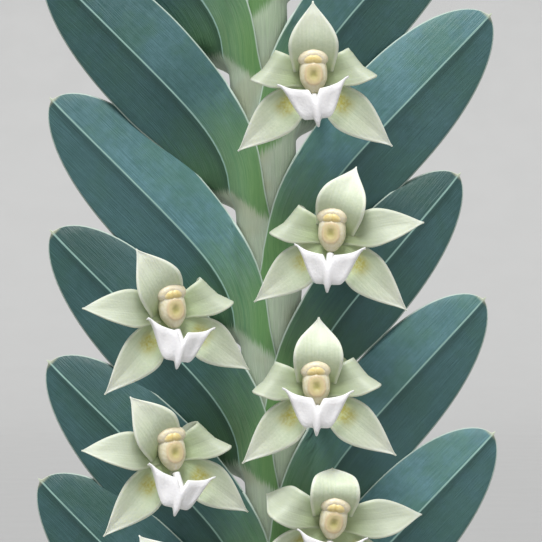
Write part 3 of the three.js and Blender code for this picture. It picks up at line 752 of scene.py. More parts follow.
def add_lip(shape, place, roll, drop):
    """Adds the white lip: a claw, and a crosswise blade with a raised point each side and one below."""
    u = np.sign(np.linspace(-1, 1, 61)) * np.abs(np.linspace(-1, 1, 61)) ** 1.25
    u = u[:, None]
    w = np.linspace(0, 1, 17)[None]
    side = np.abs(u)
    top = -2.3 + 1.3 * smooth(0, 0.18, side) + 1.3 * side**2.5
    spur = 0.55 * np.exp(-((side / 0.045) ** 2))
    bottom = mix(-5.5, -4.95, smooth(0, 0.12, side)) - spur + 5.0 * smooth(0.3, 1, side) ** 1.1
    y = mix(top, bottom, w) - 0.1 * smooth(0.9, 1, side)
    keel = 0.07 * np.exp(-((side / 0.06) ** 2)) * smooth(0, 0.4, w)
    hollow = 0.45 * np.exp(-(((side - 0.42) / 0.2) ** 2)) * np.sin(np.pi * w)
    z = 4.5 - 0.9 * side**1.5 - 1.1 * (w - 0.25) ** 2 + keel - hollow + 0 * y
    x = u * 4.75 + 0 * y
    low = y + 1.5
    turned_x = x * math.cos(roll) + low * math.sin(roll)
    turned_y = low * math.cos(roll) - x * math.sin(roll) - 1.5 - drop
    points = at(place, turned_x, turned_y, z)
    normals = grid_normals(points)
    if normals[30, 8] @ place[3] < 0:
        normals = -normals
    edge = np.minimum(w, 1 - w) * np.abs(top - bottom)
    thick = np.maximum(0.04, 0.28 * np.minimum(1, 0.25 + edge / 0.9))
    crest = 0.04 * np.exp(-((x / 0.3) ** 2)) * w
    shape.add_sheet(points, normals, thick + crest, thick, along=w, across=x, edge=edge)
    claw = ((-2.3, 2.5), (-2.7 - drop / 2, 3.2), (-3.1 - drop, 3.85))
    path = curve_through([at(place, 0, up, front) for up, front in claw], 12)
    claw_points, claw_faces = tube(path, np.linspace(0.5, 0.55, 12), 14)
    shape.add(claw_points, claw_faces, along=0, edge=1.0)


def make_bloom(index):
    """One flower's sepals, petals and column as a piece, and its lip as another."""
    bloom = BLOOMS[index]
    place, _ = bloom_frame(bloom)
    shape = Shape("along", "across", "edge", "part")
    for i, tepal in enumerate(TEPALS):
        tepal = dict(tepal)
        if i == 0:
            tepal["angle"] = bloom[4][0]
        if i < 3:
            tepal["rise"] = (*tepal["rise"][:2], bloom[5][i])
        add_tepal(shape, place, tepal)
    add_column(shape, place)
    piece = shape.piece(
        f"bloom_{index + 1}_fine", tepal_material(), column_material(), cap_material(), stalk_material()
    )
    lip = Shape("along", "across", "edge")
    add_lip(lip, place, math.radians(bloom[4][1]), bloom[4][2])
    return piece, lip.piece(f"lip_{index + 1}_fine", lip_material())


# Pot and potting mix


def inner_radius(height):
    """The pot's inner radius at a height."""
    share = (height - POT["floor"]) / (POT["height"] - POT["floor"])
    return mix(POT["foot"] - POT["wall"], POT["rim"] - POT["wall"], share)


def rounded(profile, radius=0.9, steps=4):
    """A profile with its corners rounded off."""
    out = [profile[0]]
    for before, corner, after in zip(profile, profile[1:], profile[2:]):
        before, corner, after = (np.array(p, float) for p in (before, corner, after))
        r = min(radius, 0.45 * np.linalg.norm(before - corner), 0.45 * np.linalg.norm(after - corner))
        a = corner + unit(before - corner) * r
        b = corner + unit(after - corner) * r
        for t in np.linspace(0, 1, steps + 1):
            out.append(tuple((1 - t) ** 2 * a + 2 * t * (1 - t) * corner + t * t * b))
    out.append(profile[-1])
    return out


def subdivided(profile, step):
    """A profile with points added so that none are further apart than step."""
    out = [np.array(profile[0], float)]
    for a, b in zip(profile, profile[1:]):
        a, b = np.array(a, float), np.array(b, float)
        count = max(1, math.ceil(np.linalg.norm(b - a) / step))
        out += [mix(a, b, (i + 1) / count) for i in range(count)]
    return np.array(out)


def make_pot():
    """The clay pot, with rounded edges, slight throwing rings and drain holes."""
    h, foot, neck, rim = POT["height"], POT["foot"], POT["neck"], POT["rim"]
    shoulder, wall = h - POT["rim_height"], POT["wall"]
    profile = [
        (9, 0),
        (foot - 1, 0),
        (foot, 1),
        (neck, shoulder),
        (rim - 1.2, shoulder + 0.6),
        (rim, shoulder + 2.5),
        (rim, h - 1.5),
        (rim - 1.5, h),
        (rim - wall + 1.2, h),
        (rim - wall, h - 1.2),
        (inner_radius(POT["floor"]), POT["floor"]),
        (9, POT["floor"]),
    ]
    line = subdivided(rounded(profile), 2.6)
    sides = 144
    angles = np.linspace(0, 2 * math.pi, sides, endpoint=False)
    rings = []
    for radius, height in line:
        wobble = 1 + 0.0012 * np.sin(2 * angles + 1.1) + 0.0006 * np.sin(5 * angles + height * 0.07)
        wobble = wobble + 0.0005 * math.sin(height * 2.1) * (height > 4)
        low = height + 0 * angles
        rings.append(np.c_[radius * wobble * np.cos(angles), radius * wobble * np.sin(angles), low])
    points, faces = loft(rings, closed=False)
    shape = Shape("height")
    shape.add(points, faces, height=points[:, 2])
    middle, middle_faces = pot_middle(rings[0], rings[-1])
    shape.add(middle, middle_faces, height=middle[:, 2])
    piece = shape.piece("pot_fine", clay_material())
    drill(piece)
    return piece


def pot_middle(lower, upper):
    """The middle of the pot's floor, as two discs that meet the walls' rings."""
    sides = len(lower)
    points = np.concatenate([lower, upper, [(0, 0, 0), (0, 0, POT["floor"])]])
    faces = []
    for j in range(sides):
        k = (j + 1) % sides
        faces.append((2 * sides, k, j))
        faces.append((2 * sides + 1, sides + j, sides + k))
    return points, faces


def drill(piece):
    """Cuts the ring of drain holes."""
    bpy.context.view_layer.objects.active = piece
    weld = piece.modifiers.new("weld", "WELD")
    weld.merge_threshold = 0.00001
    bpy.ops.object.modifier_apply(modifier=weld.name)
    angles = np.linspace(0, 2 * math.pi, 28, endpoint=False)
    for i in range(4):
        a = math.pi * (0.25 + i / 2)
        x, y = POT["drain_circle"] * math.cos(a), POT["drain_circle"] * math.sin(a)
        r = POT["drain_radius"]
        across, deep = x + r * np.cos(angles), y + r * np.sin(angles)
        rings = [np.c_[across, deep, 0 * angles + z] for z in (-3, 12)]
        cutter = Shape()
        cutter.add(*loft(rings))
        tool = cutter.piece(f"drill_{i}")
        cut = piece.modifiers.new("drain", "BOOLEAN")
        cut.operation, cut.solver, cut.object = "DIFFERENCE", "EXACT", tool
        bpy.ops.object.modifier_apply(modifier=cut.name)
        bpy.data.objects.remove(tool)


def uneven(points):
    """A smooth noise at each point."""
    return np.array([noise.noise(Vector(point)) for point in points])


def add_chip(shape, centre, size, turns, seed, detail):
    """Adds one bark chip: a rough slab with broken ends, layered along its grain."""
    side = np.linspace(-1, 1, detail)
    points, faces = box_grid(side)
    x, y, z = points.T
    rough = uneven(np.c_[x * 1.7 + seed, y * 3.1, z * 2.3])
    fine = uneven(np.c_[x * 3 + seed, y * 11, z * 6 + 4])
    round_off = 1 - 0.16 * (np.abs(x) ** 4 * np.abs(y) ** 4 + np.abs(y) ** 4 * np.abs(z) ** 4)
    body = points * round_off[:, None]
    body = body * (1 + 0.26 * rough + 0.09 * fine)[:, None]
    body[:, 1] *= 1 - 0.25 * body[:, 0] * draw(seed, 1)
    body[:, 2] += 0.22 * draw(seed, 2) * body[:, 0] ** 2
    body = body * np.array(size) / 2
    for axis, degrees in zip(np.eye(3), turns):
        a = math.radians(degrees)
        c, s = math.cos(a), math.sin(a)
        i, j = [k for k in range(3) if axis[k] == 0]
        if axis[1]:
            i, j = j, i
        u, w = body[:, i].copy(), body[:, j].copy()
        body[:, i], body[:, j] = u * c - w * s, u * s + w * c
    body += np.array(centre)
    radius = np.hypot(body[:, 0], body[:, 1])
    limit = inner_radius(body[:, 2]) - 0.7
    body[:, :2] *= np.minimum(1, limit / np.maximum(1e-6, radius))[:, None]
    shape.add(body, faces, grain=x, tone=0.5 + 0.5 * draw(seed, 3), layer=z)


def box_grid(side):
    """Points and faces of a cube's surface, each face a grid."""
    n = len(side)
    points, faces, index = [], [], {}

    def corner(p):
        key = tuple(round(float(c), 6) for c in p)
        if key not in index:
            index[key] = len(points)
            points.append(key)
        return index[key]

    for axis in range(3):
        for sign in (-1, 1):
            for i in range(n - 1):
                for j in range(n - 1):
                    quad = []
                    for a, b in ((i, j), (i + 1, j), (i + 1, j + 1), (i, j + 1)):
                        p = [side[a], side[b]]
                        p.insert(axis, sign)
                        quad.append(corner(p))
                    flip = (sign > 0) == (axis == 1)
                    faces.append(tuple(quad[::-1] if flip else quad))
    return np.array(points), faces


def make_mix():
    """The bark mix: a rough bed and chips of several sizes lying on it."""
    shape = Shape("grain", "tone", "layer")
    low = POT["floor"] + GAP
    line = [(0.01, low), (inner_radius(low) - 0.6, low), (inner_radius(MIX_TOP) - 0.9, MIX_TOP - 1)]
    top = subdivided([line[-1], (0.01, MIX_TOP - 0.6)], 1.6)
    line = np.concatenate([subdivided(line, 6), top[1:]])
    angles = np.linspace(0, 2 * math.pi, 96, endpoint=False)
    rings = []
    for radius, height in line:
        x, y = radius * np.cos(angles), radius * np.sin(angles)
        bump = uneven(np.c_[x * 0.35, y * 0.35, 0 * x + 3])
        rings.append(np.c_[x, y, height + bump * (1.1 if height > MIX_TOP - 1.5 else 0)])
    points, faces = loft(rings)
    shape.add(points, faces, grain=0, tone=0.1, layer=-1)
    holes = [(np.array(s["foot"]), s["size"]) for s in STEMS.values()]
    for i in range(CHIPS):
        share = [draw(74, i * 9 + n) for n in range(7)]
        size = [mix(*limits, (share[n] + 1) / 2) for n, limits in enumerate(CHIP_SIZE)]
        radius = (inner_radius(MIX_TOP) - 3) * math.sqrt((i + 0.5) / CHIPS)
        a = i * GOLDEN_ANGLE
        place = (radius * math.cos(a), radius * math.sin(a), MIX_TOP - 1.3 + share[6])
        turns = (14 * share[3], 14 * share[4], 180 * share[5])
        add_chip(shape, place, size, turns, 100 + i, 9)
    for i in range(SMALL_CHIPS):
        share = [draw(133, i * 9 + n) for n in range(7)]
        length, wide, high = (mix(*limits, (share[n] + 1) / 2) for n, limits in enumerate(SMALL_SIZE))
        radius = (inner_radius(MIX_TOP) - 2) * math.sqrt((i + 0.5) / SMALL_CHIPS)
        a = i * GOLDEN_ANGLE + 1.3
        place = (radius * math.cos(a), radius * math.sin(a), MIX_TOP + 1.3 + 1.6 * share[6])
        near = min(np.linalg.norm(np.array(place[:2]) - foot) / s for foot, s in holes)
        if near < CLEAR_OF_STEM:
            continue
        turns = (30 * share[3], 30 * share[4], 180 * share[5])
        add_chip(shape, place, (length, length * wide, length * high), turns, 300 + i, 6)
    return shape.piece("potting_mix_fine", bark_material())


# Materials: a socket that can be reckoned with, and one call for every other node


class Value:
    """A shader socket, or a number, that adds Math nodes when it is reckoned with."""

    def __init__(self, tree, socket):
        self.tree = tree
        self.socket = socket

    def _math(self, operation, *operands, clamp=False):
        node = self.tree.nodes.new("ShaderNodeMath")
        node.operation = operation
        node.use_clamp = clamp
        for slot, operand in zip(node.inputs, operands):
            if isinstance(operand, Value):
                self.tree.links.new(operand.socket, slot)
            else:
                slot.default_value = operand
        return Value(self.tree, node.outputs[0])

    def __add__(self, other):
        return self._math("ADD", self, other)

    def __radd__(self, other):
        return self._math("ADD", other, self)

    def __sub__(self, other):
        return self._math("SUBTRACT", self, other)

    def __rsub__(self, other):
        return self._math("SUBTRACT", other, self)

    def __mul__(self, other):
        return self._math("MULTIPLY", self, other)

    def __rmul__(self, other):
        return self._math("MULTIPLY", other, self)

    def __truediv__(self, other):
        return self._math("DIVIDE", self, other)

    def __pow__(self, other):
        return self._math("POWER", self, other)

    def clamped(self):
        """This value held between 0 and 1."""
        return self._math("ADD", self, 0.0, clamp=True)

    def most(self, other):
        """The higher of the two."""
        return self._math("MAXIMUM", self, other)

    def away(self):
        """The distance from 0."""
        return self._math("ABSOLUTE", self)


class Finish:
    """A material being made: nodes, surface values and textures, then one Principled shader."""

    def __init__(self, name):
        self.material = bpy.data.materials.new(name)
        self.material.use_nodes = True
        self.tree = self.material.node_tree
        self.tree.nodes.clear()

    def node(self, kind, settings=None, output=0, **inputs):
        """One node of a type, with its settings, then its sockets by name, number or index."""
        node = self.tree.nodes.new(kind)
        for key, value in (settings or {}).items():
            setattr(node, key, value)
        for key, value in inputs.items():
            key = key.replace("_", " ")
            slot = node.inputs[int(key[1:])] if key[1:].isdigit() else node.inputs[key]
            if isinstance(value, Value):
                self.tree.links.new(value.socket, slot)
            else:
                slot.default_value = value
        return Value(self.tree, node.outputs[output]) if len(node.outputs) else None

    def surface(self, name):
        """A value that the mesh carries."""
        return self.node("ShaderNodeAttribute", {"attribute_name": name}, output="Fac")

    def place(self, scale=1.0):
        """The point on the object, in millimetres times scale."""
        spot = self.node("ShaderNodeTexCoord", output="Object")
        k = 1000 * scale
        return self.node("ShaderNodeVectorMath", {"operation": "MULTIPLY"}, i0=spot, i1=(k, k, k))

    def point(self, x, y, z=0.0):
        """A point from three values."""
        return self.node("ShaderNodeCombineXYZ", X=x, Y=y, Z=z)

    def grain(self, where, scale, detail=3.0, rough=0.5, low=0.3, high=0.7):
        """A noise over the surface, spread so that low becomes 0 and high 1."""
        raw = self.node("ShaderNodeTexNoise", Vector=where, Scale=scale, Detail=detail, Roughness=rough)
        return self.step(raw, low, high)

    def step(self, value, low, high):
        """0 where the value is low, 1 where it is high, with soft ends."""
        return self.node(
            "ShaderNodeMapRange",
            {"interpolation_type": "SMOOTHSTEP"},
            Value=value,
            From_Min=low,
            From_Max=high,
        )

    def blend(self, share, a, b, how="MIX"):
        """Colour a with colour b mixed in by share."""
        return self.node(
            "ShaderNodeMix",
            {"data_type": "RGBA", "blend_type": how, "clamp_factor": True},
            output=2,
            Factor=share,
            i6=colour(a),
            i7=colour(b),
        )

    def bump(self, height, distance, strength=1.0):
        """A normal from a height, its full step being distance millimetres."""
        return self.node("ShaderNodeBump", Height=height, Distance=distance * MM, Strength=strength)

    def done(self, **sockets):
        """Closes the material with a Principled shader that has these sockets."""
        shader = self.node("ShaderNodeBsdfPrincipled", **sockets)
        self.node("ShaderNodeOutputMaterial", Surface=shader)
        return self.material


def colour(value):
    """A colour with its alpha, or the value as it is."""
    return value if isinstance(value, Value) or len(value) == 4 else (*value, 1)


def hexed(text):
    """The linear colour of an sRGB one in hexadecimal."""
    parts = [int(text[i : i + 2], 16) / 255 for i in (0, 2, 4)]
    return tuple(c / 12.92 if c <= 0.04045 else ((c + 0.055) / 1.055) ** 2.4 for c in parts)


MADE = {}


def once(make):
    """A material maker that makes its material once."""

    def get():
        if make.__name__ not in MADE:
            MADE[make.__name__] = make()
        return MADE[make.__name__]

    return get


@once
def leaf_material():
    """Blue-green waxy blades that turn yellow-green at the bend and pale, streaked sheaths below it,
    with painted shade on the blades' lower halves, on some whole leaves and beside the keel, and a
    painted highlight along the keel.
    """
    look = bpy.context.scene.orchid_leaves
    f = Finish("leaf")
    reach, across, edge = (f.surface(n) for n in ("reach", "across", "edge"))
    along, own, young = (f.surface(n) for n in ("along", "own", "young"))
    old, under, deep = (f.surface(n) for n in ("old", "under", "deep"))
    seed = own * 37.0
    streaks = f.grain(f.point(reach * 0.09, across * 2.6, seed), 1.0, 4.0, 0.6)
    fine = f.grain(f.point(reach * 0.35, across * 9.0, seed), 1.0, 2.0, 0.5)
    mottle = f.grain(f.place(0.8), 1.0, 5.0, 0.62, 0.3, 0.72)
    cloud = f.grain(f.place(0.1), 1.0, 3.0, 0.5)
    patches = f.grain(f.place(0.16), 1.0, 4.0, 0.65, 0.42, 0.62)
    green = f.blend(streaks * 0.3 + fine * 0.2 + mottle * 0.2, tuple(look.green), tuple(look.shade))
    waxy = f.blend(mottle * 0.3 + fine * 0.25 + cloud * 0.35, green, tuple(look.bloom))
    waxy = f.blend(patches * 0.4, waxy, hexed("4a7656"))
    # painted shade: the blades' lower halves darkened towards deep green, as if the light fell from
    # above
    lower = 1 - f.step(across, -0.15, 0.15)
    blade = f.blend(lower * 0.55, waxy, tuple(look.shade))
    blade = f.blend(own * 0.22, blade, tuple(look.bloom))
    # painted shade: the tall stem's listed leaves and the left leaves' tips darkened, less on the lower
    # halves; elsewhere a random darker tone
    blade = f.blend((deep * (0.78 - lower * 0.55)).clamped(), blade, tuple(look.shade))
    near_base = 1 - f.step(reach + streaks * 2.5, 2.0, 15.0)
    leafy = f.blend(streaks * 0.5 + fine * 0.3, tuple(look.base), hexed("86a673"))
    # painted shade: the lower half darker green near the blade's foot
    leafy = f.blend(lower * 0.75, leafy, hexed("2c5531"))
    blade = f.blend(near_base * 0.85, blade, leafy)
    patch = (1 - f.step(reach, -1.0, 6.5)) * f.step(across, 1.6, 4.2) * 0.55
    blade = f.blend(patch, blade, hexed("5f8c47"))
    pale = f.blend(streaks * 0.6, tuple(look.sheath), hexed("9aab95"))
    pale = f.blend(fine * 0.45, pale, hexed("ccd6c0"))
    pale = f.blend(cloud * 0.4, pale, hexed("a9a9ab"))
    pale = f.blend(f.step(cloud, 0.55, 1.0) * 0.35, pale, hexed("a3a878"))
    in_sheath = 1 - f.step(reach + fine * 1.0 + across.most(0.0) * 0.75, -1.0, 0.5)
    skin = f.blend(in_sheath, blade, pale)
    worn = f.blend(mottle, hexed("8a7a58"), hexed("b7a981"))
    skin = f.blend(old * 0.75, skin, worn)
    skin = f.blend(young * 0.5, skin, hexed("7c9d68"))
    rim = (1 - f.step(edge, 0.09, 0.24)) * 0.8
    skin = f.blend(rim, skin, tuple(look.rim))
    middle = across.away()
    # painted highlight: a pale line along the keel on the outer face, where the ridge would catch the
    # light
    keel = (1 - f.step(middle, 0.05, 0.16)) * (1 - under) * (0.8 - in_sheath * 0.5)
    skin = f.blend(keel, skin, hexed("a3c8bd"))
    tip = f.step(along, 0.985, 1.0)
    skin = f.blend(tip * 0.7, skin, hexed("cfd0b4"))
    # painted shadow: a dark band beside the keel on the lower half, below the raised ridge
    keel_shadow = lower * f.step(middle, 0.1, 0.3) * (1 - f.step(middle, 0.3, 1.6)) * (1 - in_sheath) * 0.4
    skin = f.blend(keel_shadow, skin, hexed("214038"))
    height = streaks * 0.35 + fine * 0.3 + mottle * 0.15
    return f.done(
        Base_Color=skin,
        Roughness=0.44 + mottle * 0.16 - streaks * 0.05,
        Specular_IOR_Level=0.4,
        Normal=f.bump(height, 0.12, 0.6),
    )


@once
def stalk_material():
    """The pale green of flower stalks and ovaries."""
    f = Finish("stalk")
    spots = f.grain(f.place(1.2), 1.0, 3.0)
    skin = f.blend(spots, hexed("9fb07c"), hexed("b9c59a"))
    return f.done(Base_Color=skin, Roughness=0.45 + spots * 0.1, Normal=f.bump(spots, 0.05, 0.5))


@once
def tepal_material():
    """Cream sepals and petals, greenish inside and darker there as painted shade, with whitish edges
    and olive marks on two.
    """
    look = bpy.context.scene.orchid_flowers
    f = Finish("tepal")
    along, across, edge, part = (f.surface(n) for n in ("along", "across", "edge", "part"))
    veins = f.grain(f.point(along * 1.2, across * 3.2, part * 9.0), 1.0, 3.0, 0.5)
    cells = f.grain(f.place(3.0), 1.0, 2.0, 0.5, 0.3, 0.7)
    middle = f.blend(veins * 0.25 + cells * 0.25, tuple(look.tepal), hexed("dde2cb"))
    petal = f.step(part, 0.4, 0.6) * (1 - f.step(part, 1.4, 1.6))
    middle = f.blend(petal * 0.85, middle, hexed("adb5a0"))
    middle = f.blend(f.step(along, 0.35, 1.0) * (0.75 - petal * 0.45), middle, tuple(look.tip))
    # greener towards the base: partly the tepals' own green, partly painted shade
    throat = 1 - f.step(along, 0.06, 0.5)
    skin = f.blend(throat * 0.6, middle, hexed("a6ba80"))
    lateral = f.step(part, 1.5, 1.9)
    mark = f.step(along, 0.16, 0.26) * (1 - f.step(along, 0.32, 0.48))
    mark = mark * lateral * (1 - f.step(across.away(), 0.4, 2.0))
    skin = f.blend((mark * (0.45 + cells * 0.45)).clamped(), skin, hexed("a39a3a"))
    rim = 1 - f.step(edge, 0.05, 0.5)
    skin = f.blend(rim * (0.6 - petal * 0.3), skin, tuple(look.edge))
    return f.done(
        Base_Color=skin,
        Roughness=0.42 + cells * 0.12,
        Specular_IOR_Level=0.35,
        Subsurface_Weight=0.2,
        Subsurface_Radius=(1.0, 0.9, 0.5),
        Subsurface_Scale=0.0012,
        Normal=f.bump(veins * 0.4 + cells * 0.25, 0.07, 0.5),
    )


@once
def column_material():
    """The cream column, greener in its hollow, with darker rings round it."""
    f = Finish("column")
    spot, rings, dent = f.surface("across"), f.surface("edge"), f.surface("part")
    cells = f.grain(f.place(2.5), 1.0, 2.0)
    skin = f.blend(cells, hexed("e2d9b8"), hexed("ece4cc"))
    skin = f.blend(1 - f.step(spot, 0.3, 0.8), skin, hexed("cfc48e"))
    skin = f.blend((rings * 0.6).clamped(), skin, hexed("d8b896"))
    skin = f.blend((dent * 0.9).clamped(), skin, hexed("a09a55"))
    return f.done(
        Base_Color=skin,
        Roughness=0.35 + cells * 0.1,
        Subsurface_Weight=0.2,
        Subsurface_Radius=(1.0, 0.9, 0.5),
        Subsurface_Scale=0.001,
        Normal=f.bump(cells, 0.05, 0.4),
    )


@once
def cap_material():
    """The yellow anther cap, paler at its sides."""
    look = bpy.context.scene.orchid_flowers
    f = Finish("anther_cap")
    up, across = f.surface("along"), f.surface("across")
    cells = f.grain(f.place(2.0), 1.0, 3.0)
    skin = f.blend(cells * 0.6, tuple(look.cap), hexed("e6d6a4"))
    pale = f.step(across.away(), 0.55, 1.0) * 0.6 + f.step(up, 0.2, 0.9) * 0.3
    skin = f.blend(pale, skin, hexed("eee4c6"))
    return f.done(Base_Color=skin, Roughness=0.35 + cells * 0.1, Normal=f.bump(cells, 0.05, 0.4))


@once
def lip_material():
    """The white lip."""
    look = bpy.context.scene.orchid_flowers
    f = Finish("lip")
    edge, along = f.surface("edge"), f.surface("along")
    cells = f.grain(f.place(3.2), 1.0, 2.0)
    skin = f.blend(cells * 0.5, tuple(look.lip), hexed("e9e6ea"))
    skin = f.blend((1 - f.step(edge, 0.0, 0.5)) * 0.4 + along * 0.05, skin, hexed("ffffff"))
    return f.done(
        Base_Color=skin,
        Roughness=0.42 + cells * 0.1,
        Subsurface_Weight=0.3,
        Subsurface_Radius=(1.0, 0.95, 0.9),
        Subsurface_Scale=0.0012,
        Normal=f.bump(cells, 0.05, 0.4),
    )


@once
def clay_material():
    """Unglazed fired clay, with pores, paler salts near the foot and rim, and damp patches."""
    look = bpy.context.scene.orchid_pot
    f = Finish("clay")
    height = f.surface("height")
    cloud = f.grain(f.place(0.035), 1.0, 4.0, 0.55)
    grit = f.grain(f.place(0.9), 1.0, 3.0, 0.6)
    pores = f.grain(f.place(1.9), 1.0, 2.0, 0.6, 0.62, 0.74)
    skin = f.blend(cloud * 0.6, tuple(look.clay), hexed("c98a62"))
    skin = f.blend(grit * 0.3, skin, hexed("a35a38"))
    salts = f.grain(f.place(0.06), 1.0, 5.0, 0.65, 0.45, 0.7)
    where = (1 - f.step(height, 4, 26)) + f.step(height, 70, 88) * 0.8
    skin = f.blend((salts * where * 0.5).clamped(), skin, hexed("dcc3ab"))
    skin = f.blend(pores * 0.5, skin, hexed("6f3b25"))
    return f.done(
        Base_Color=skin,
        Roughness=0.82 + grit * 0.12,
        Normal=f.bump(grit * 0.5 - pores * 0.8 + cloud * 0.4, 0.25, 0.6),
    )


@once
def bark_material():
    """Fir bark chips: layered red-browns with greyer weathered tops."""
    f = Finish("bark")
    tone, layer, grain = (f.surface(n) for n in ("tone", "layer", "grain"))
    bands = f.grain(f.point(grain * 0.8, layer * 6.0, tone * 40.0), 1.0, 4.0, 0.6)
    fibre = f.grain(f.place(0.9), 1.0, 5.0, 0.7)
    skin = f.blend(bands, hexed("3b2317"), hexed("7b4e31"))
    skin = f.blend(tone * 0.55, skin, hexed("94663f"))
    skin = f.blend(fibre * 0.4, skin, hexed("2a1911"))
    dust = f.grain(f.place(0.25), 1.0, 4.0, 0.6, 0.5, 0.75)
    skin = f.blend(dust * 0.35, skin, hexed("a48a6c"))
    return f.done(
        Base_Color=skin,
        Roughness=0.8 + fibre * 0.15,
        Normal=f.bump(bands * 0.5 + fibre * 0.7, 0.5, 0.9),
    )


@once
def floor_material():
    """A plain pale studio floor."""
    look = bpy.context.scene.orchid_stage
    f = Finish("studio_floor")
    faint = f.grain(f.place(0.02), 1.0, 2.0)
    skin = f.blend(faint * 0.3, tuple(look.floor), tuple(c * 0.96 for c in look.floor))
    return f.done(Base_Color=skin, Roughness=0.7 + faint * 0.05)


# Stage


def make_floor():
    """A floor that sweeps up into a backdrop behind the plant."""
    half_width = 14.0
    bend = 1.5
    run = [(-16.0, 0.0), (5.0, 0.0)]
    for a in np.linspace(0.1, math.pi / 2, 16):
        run.append((5.0 + bend * math.sin(a), bend - bend * math.cos(a)))
    run.append((5.0 + bend, 6.0))
    points = [(x, y, z) for y, z in run for x in (-half_width, half_width)]
    faces = [(2 * i, 2 * i + 1, 2 * i + 3, 2 * i + 2) for i in range(len(run) - 1)]
    shape = Shape()
    shape.add(np.array(points) / MM, faces)
    floor = shape.piece("studio_floor", floor_material())


def add_light(name, place, target, size, power, tint=(1, 1, 1)):
    """A square soft light at a place, pointing at a target."""
    data = bpy.data.lights.new(name, "AREA")
    data.shape = "SQUARE"
    data.size = size
    data.energy = power
    data.color = tint
    light = bpy.data.objects.new(name, data)
    light.location = place
    aim = Vector(target) - Vector(place)
    light.rotation_euler = aim.to_track_quat("-Z", "Y").to_euler()
    bpy.context.scene.collection.objects.link(light)


def add_key(strength):
    """The main light: broad and soft, from above and in front."""
    data = bpy.data.lights.new("key", "SUN")
    data.angle = math.radians(28)
    data.energy = strength
    light = bpy.data.objects.new("key", data)
    light.rotation_euler = Vector((0.1, 0.5, -0.86)).to_track_quat("-Z", "Y").to_euler()
    bpy.context.scene.collection.objects.link(light)


def make_camera(stage):
    """The photograph's camera: square on, from in front of the tall stem's middle."""
    data = bpy.data.cameras.new("camera")
    data.sensor_width = 36
    data.lens = 36 * stage.camera_distance / stage.photo_width
    camera = bpy.data.objects.new("camera", data)
    camera.location = (0, -stage.camera_distance, stage.photo_height)
    camera.rotation_euler = (math.pi / 2, 0, 0)
    data.clip_start = 0.01
    bpy.context.scene.collection.objects.link(camera)
    bpy.context.scene.camera = camera


def make_world(strength):
    """Even pale light from all round."""
    world = bpy.data.worlds.new("studio")
    world.use_nodes = True
    background = world.node_tree.nodes["Background"]
    background.inputs["Color"].default_value = (0.95, 0.97, 1.0, 1)
    background.inputs["Strength"].default_value = strength
    bpy.context.scene.world = world


# The add-on


def tint(name, description, code):
    """A colour setting whose first value is an sRGB colour in hexadecimal."""
    return bpy.props.FloatVectorProperty(
        name=name, description=description, subtype="COLOR", size=3, default=hexed(code)
    )


class OrchidLeaves(bpy.types.PropertyGroup):
    """Colours of the leaves and sheaths."""

    green: tint("Green", "Blade under its wax", "3f6b67")
    # shade: the green of the darkest streaks, also the colour of the painted shade on the blades
    shade: tint("Deep green", "Darkest streaks", "1d4039")
    bloom: tint("Wax bloom", "Blue-grey wax", "67919b")
    base: tint("Base", "Green of a blade's foot", "5a875a")
    sheath: tint("Sheath", "Pale sheaths", "afc6a4")
    rim: tint("Margin", "Thin pale margins", "c6d6ca")


class OrchidFlowers(bpy.types.PropertyGroup):
    """Colours of the flowers."""

    tepal: tint("Sepals and petals", "Their middle", "bdcaac")
    tip: tint("Tips", "Pale tips", "e9ebdc")
    edge: tint("Edges", "Whitish edges", "f0f2e2")
    lip: tint("Lip", "White lip", "f1eff0")
    cap: tint("Anther cap", "Yellow cap", "dec67c")


class OrchidPot(bpy.types.PropertyGroup):
    """Colour of the pot."""

    clay: tint("Clay", "Fired clay", "b4704a")


class OrchidStage(bpy.types.PropertyGroup):
    """Camera, floor and light."""

    camera_distance: bpy.props.FloatProperty(
        name="Camera distance", description="From the stem", unit="LENGTH", default=0.6
    )
    photo_width: bpy.props.FloatProperty(
        name="View width", description="Width seen at the stem", unit="LENGTH", default=0.0732
    )
    photo_height: bpy.props.FloatProperty(
        name="View height", description="Height of the view's middle", unit="LENGTH", default=0.21
    )
    floor: bpy.props.FloatVectorProperty(
        name="Floor", description="Pale floor", subtype="COLOR", size=3, default=(0.4, 0.4, 0.395)
    )
    light: bpy.props.FloatProperty(
        name="Light", description="Share of the full light", default=1.0, min=0
    )


class ORCHID_OT_stems(bpy.types.Operator):
    """Makes the leafy stems with their sheaths, leaves and flower stalks"""

    bl_idname = "orchid.stems"
    bl_label = "Leafy stems"

    def execute(self, context):
        for name in STEMS:
            piece = make_stem(name)
            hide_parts(name)
            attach(piece, "root")
        return {"FINISHED"}


class ORCHID_OT_flowers(bpy.types.Operator):
    """Makes every flower, with its white lip as a piece of its own"""

    bl_idname = "orchid.flowers"
    bl_label = "Flowers"

    def execute(self, context):
        for i in range(len(BLOOMS)):
            bloom, lip = make_bloom(i)
            for piece, node, slot in ((bloom, f"bloom_{i + 1}", "tepal"), (lip, f"lip_{i + 1}", "lip")):
                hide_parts(node)
                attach(piece, "root")
        return {"FINISHED"}


class ORCHID_OT_pot(bpy.types.Operator):
    """Makes the clay pot"""

    bl_idname = "orchid.pot"
    bl_label = "Clay pot"

    def execute(self, context):
        piece = make_pot()
        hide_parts("pot")
        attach(piece, "root")
        return {"FINISHED"}


class ORCHID_OT_mix(bpy.types.Operator):
    """Makes the bark potting mix"""

    bl_idname = "orchid.mix"
    bl_label = "Potting mix"

    def execute(self, context):
        piece = make_mix()
        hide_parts("potting_mix")
        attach(piece, "root")
        return {"FINISHED"}


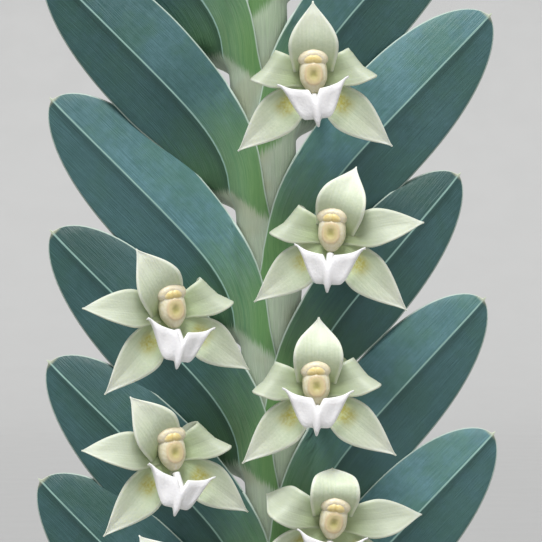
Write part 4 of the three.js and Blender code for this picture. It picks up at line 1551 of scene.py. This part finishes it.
class ORCHID_OT_stage(bpy.types.Operator):
    """Makes the floor, the lights and the camera"""

    bl_idname = "orchid.stage"
    bl_label = "Stage"

    def execute(self, context):
        stage = context.scene.orchid_stage
        make_camera(stage)
        make_floor()
        make_world(0.3 * stage.light)
        add_key(3.6 * stage.light)
        add_light("fill", (0.5, -0.9, 0.3), (0, 0, 0.19), 0.8, 1.2 * stage.light)
        context.scene.view_settings.view_transform = "Standard"
        return {"FINISHED"}


class ORCHID_PT_panel(bpy.types.Panel):
    """Lists the pieces and their colours"""

    bl_label = "Dichaea glauca"
    bl_idname = "ORCHID_PT_panel"
    bl_space_type = "VIEW_3D"
    bl_region_type = "UI"
    bl_category = "Dichaea"

    def draw(self, context):
        for operator in OPERATORS:
            self.layout.operator(operator.bl_idname)
        for group, _ in GROUPS:
            box = self.layout.box()
            settings = getattr(context.scene, group)
            for name in settings.bl_rna.properties.keys():
                if name not in ("rna_type", "name"):
                    box.prop(settings, name)


OPERATORS = (ORCHID_OT_pot, ORCHID_OT_mix, ORCHID_OT_stems, ORCHID_OT_flowers, ORCHID_OT_stage)
GROUPS = (
    ("orchid_leaves", OrchidLeaves),
    ("orchid_flowers", OrchidFlowers),
    ("orchid_pot", OrchidPot),
    ("orchid_stage", OrchidStage),
)


def register():
    for _, group in GROUPS:
        bpy.utils.register_class(group)
    for operator in OPERATORS:
        bpy.utils.register_class(operator)
    bpy.utils.register_class(ORCHID_PT_panel)
    for name, group in GROUPS:
        setattr(bpy.types.Scene, name, bpy.props.PointerProperty(type=group))


def unregister():
    for name, _ in GROUPS:
        delattr(bpy.types.Scene, name)
    bpy.utils.unregister_class(ORCHID_PT_panel)
    for operator in reversed(OPERATORS):
        bpy.utils.unregister_class(operator)
    for _, group in reversed(GROUPS):
        bpy.utils.unregister_class(group)


def main():
    register()
    for operator in OPERATORS:
        family, name = operator.bl_idname.split(".")
        getattr(getattr(bpy.ops, family), name)()
    bpy.context.view_layer.update()


if __name__ == "__main__":
    main()
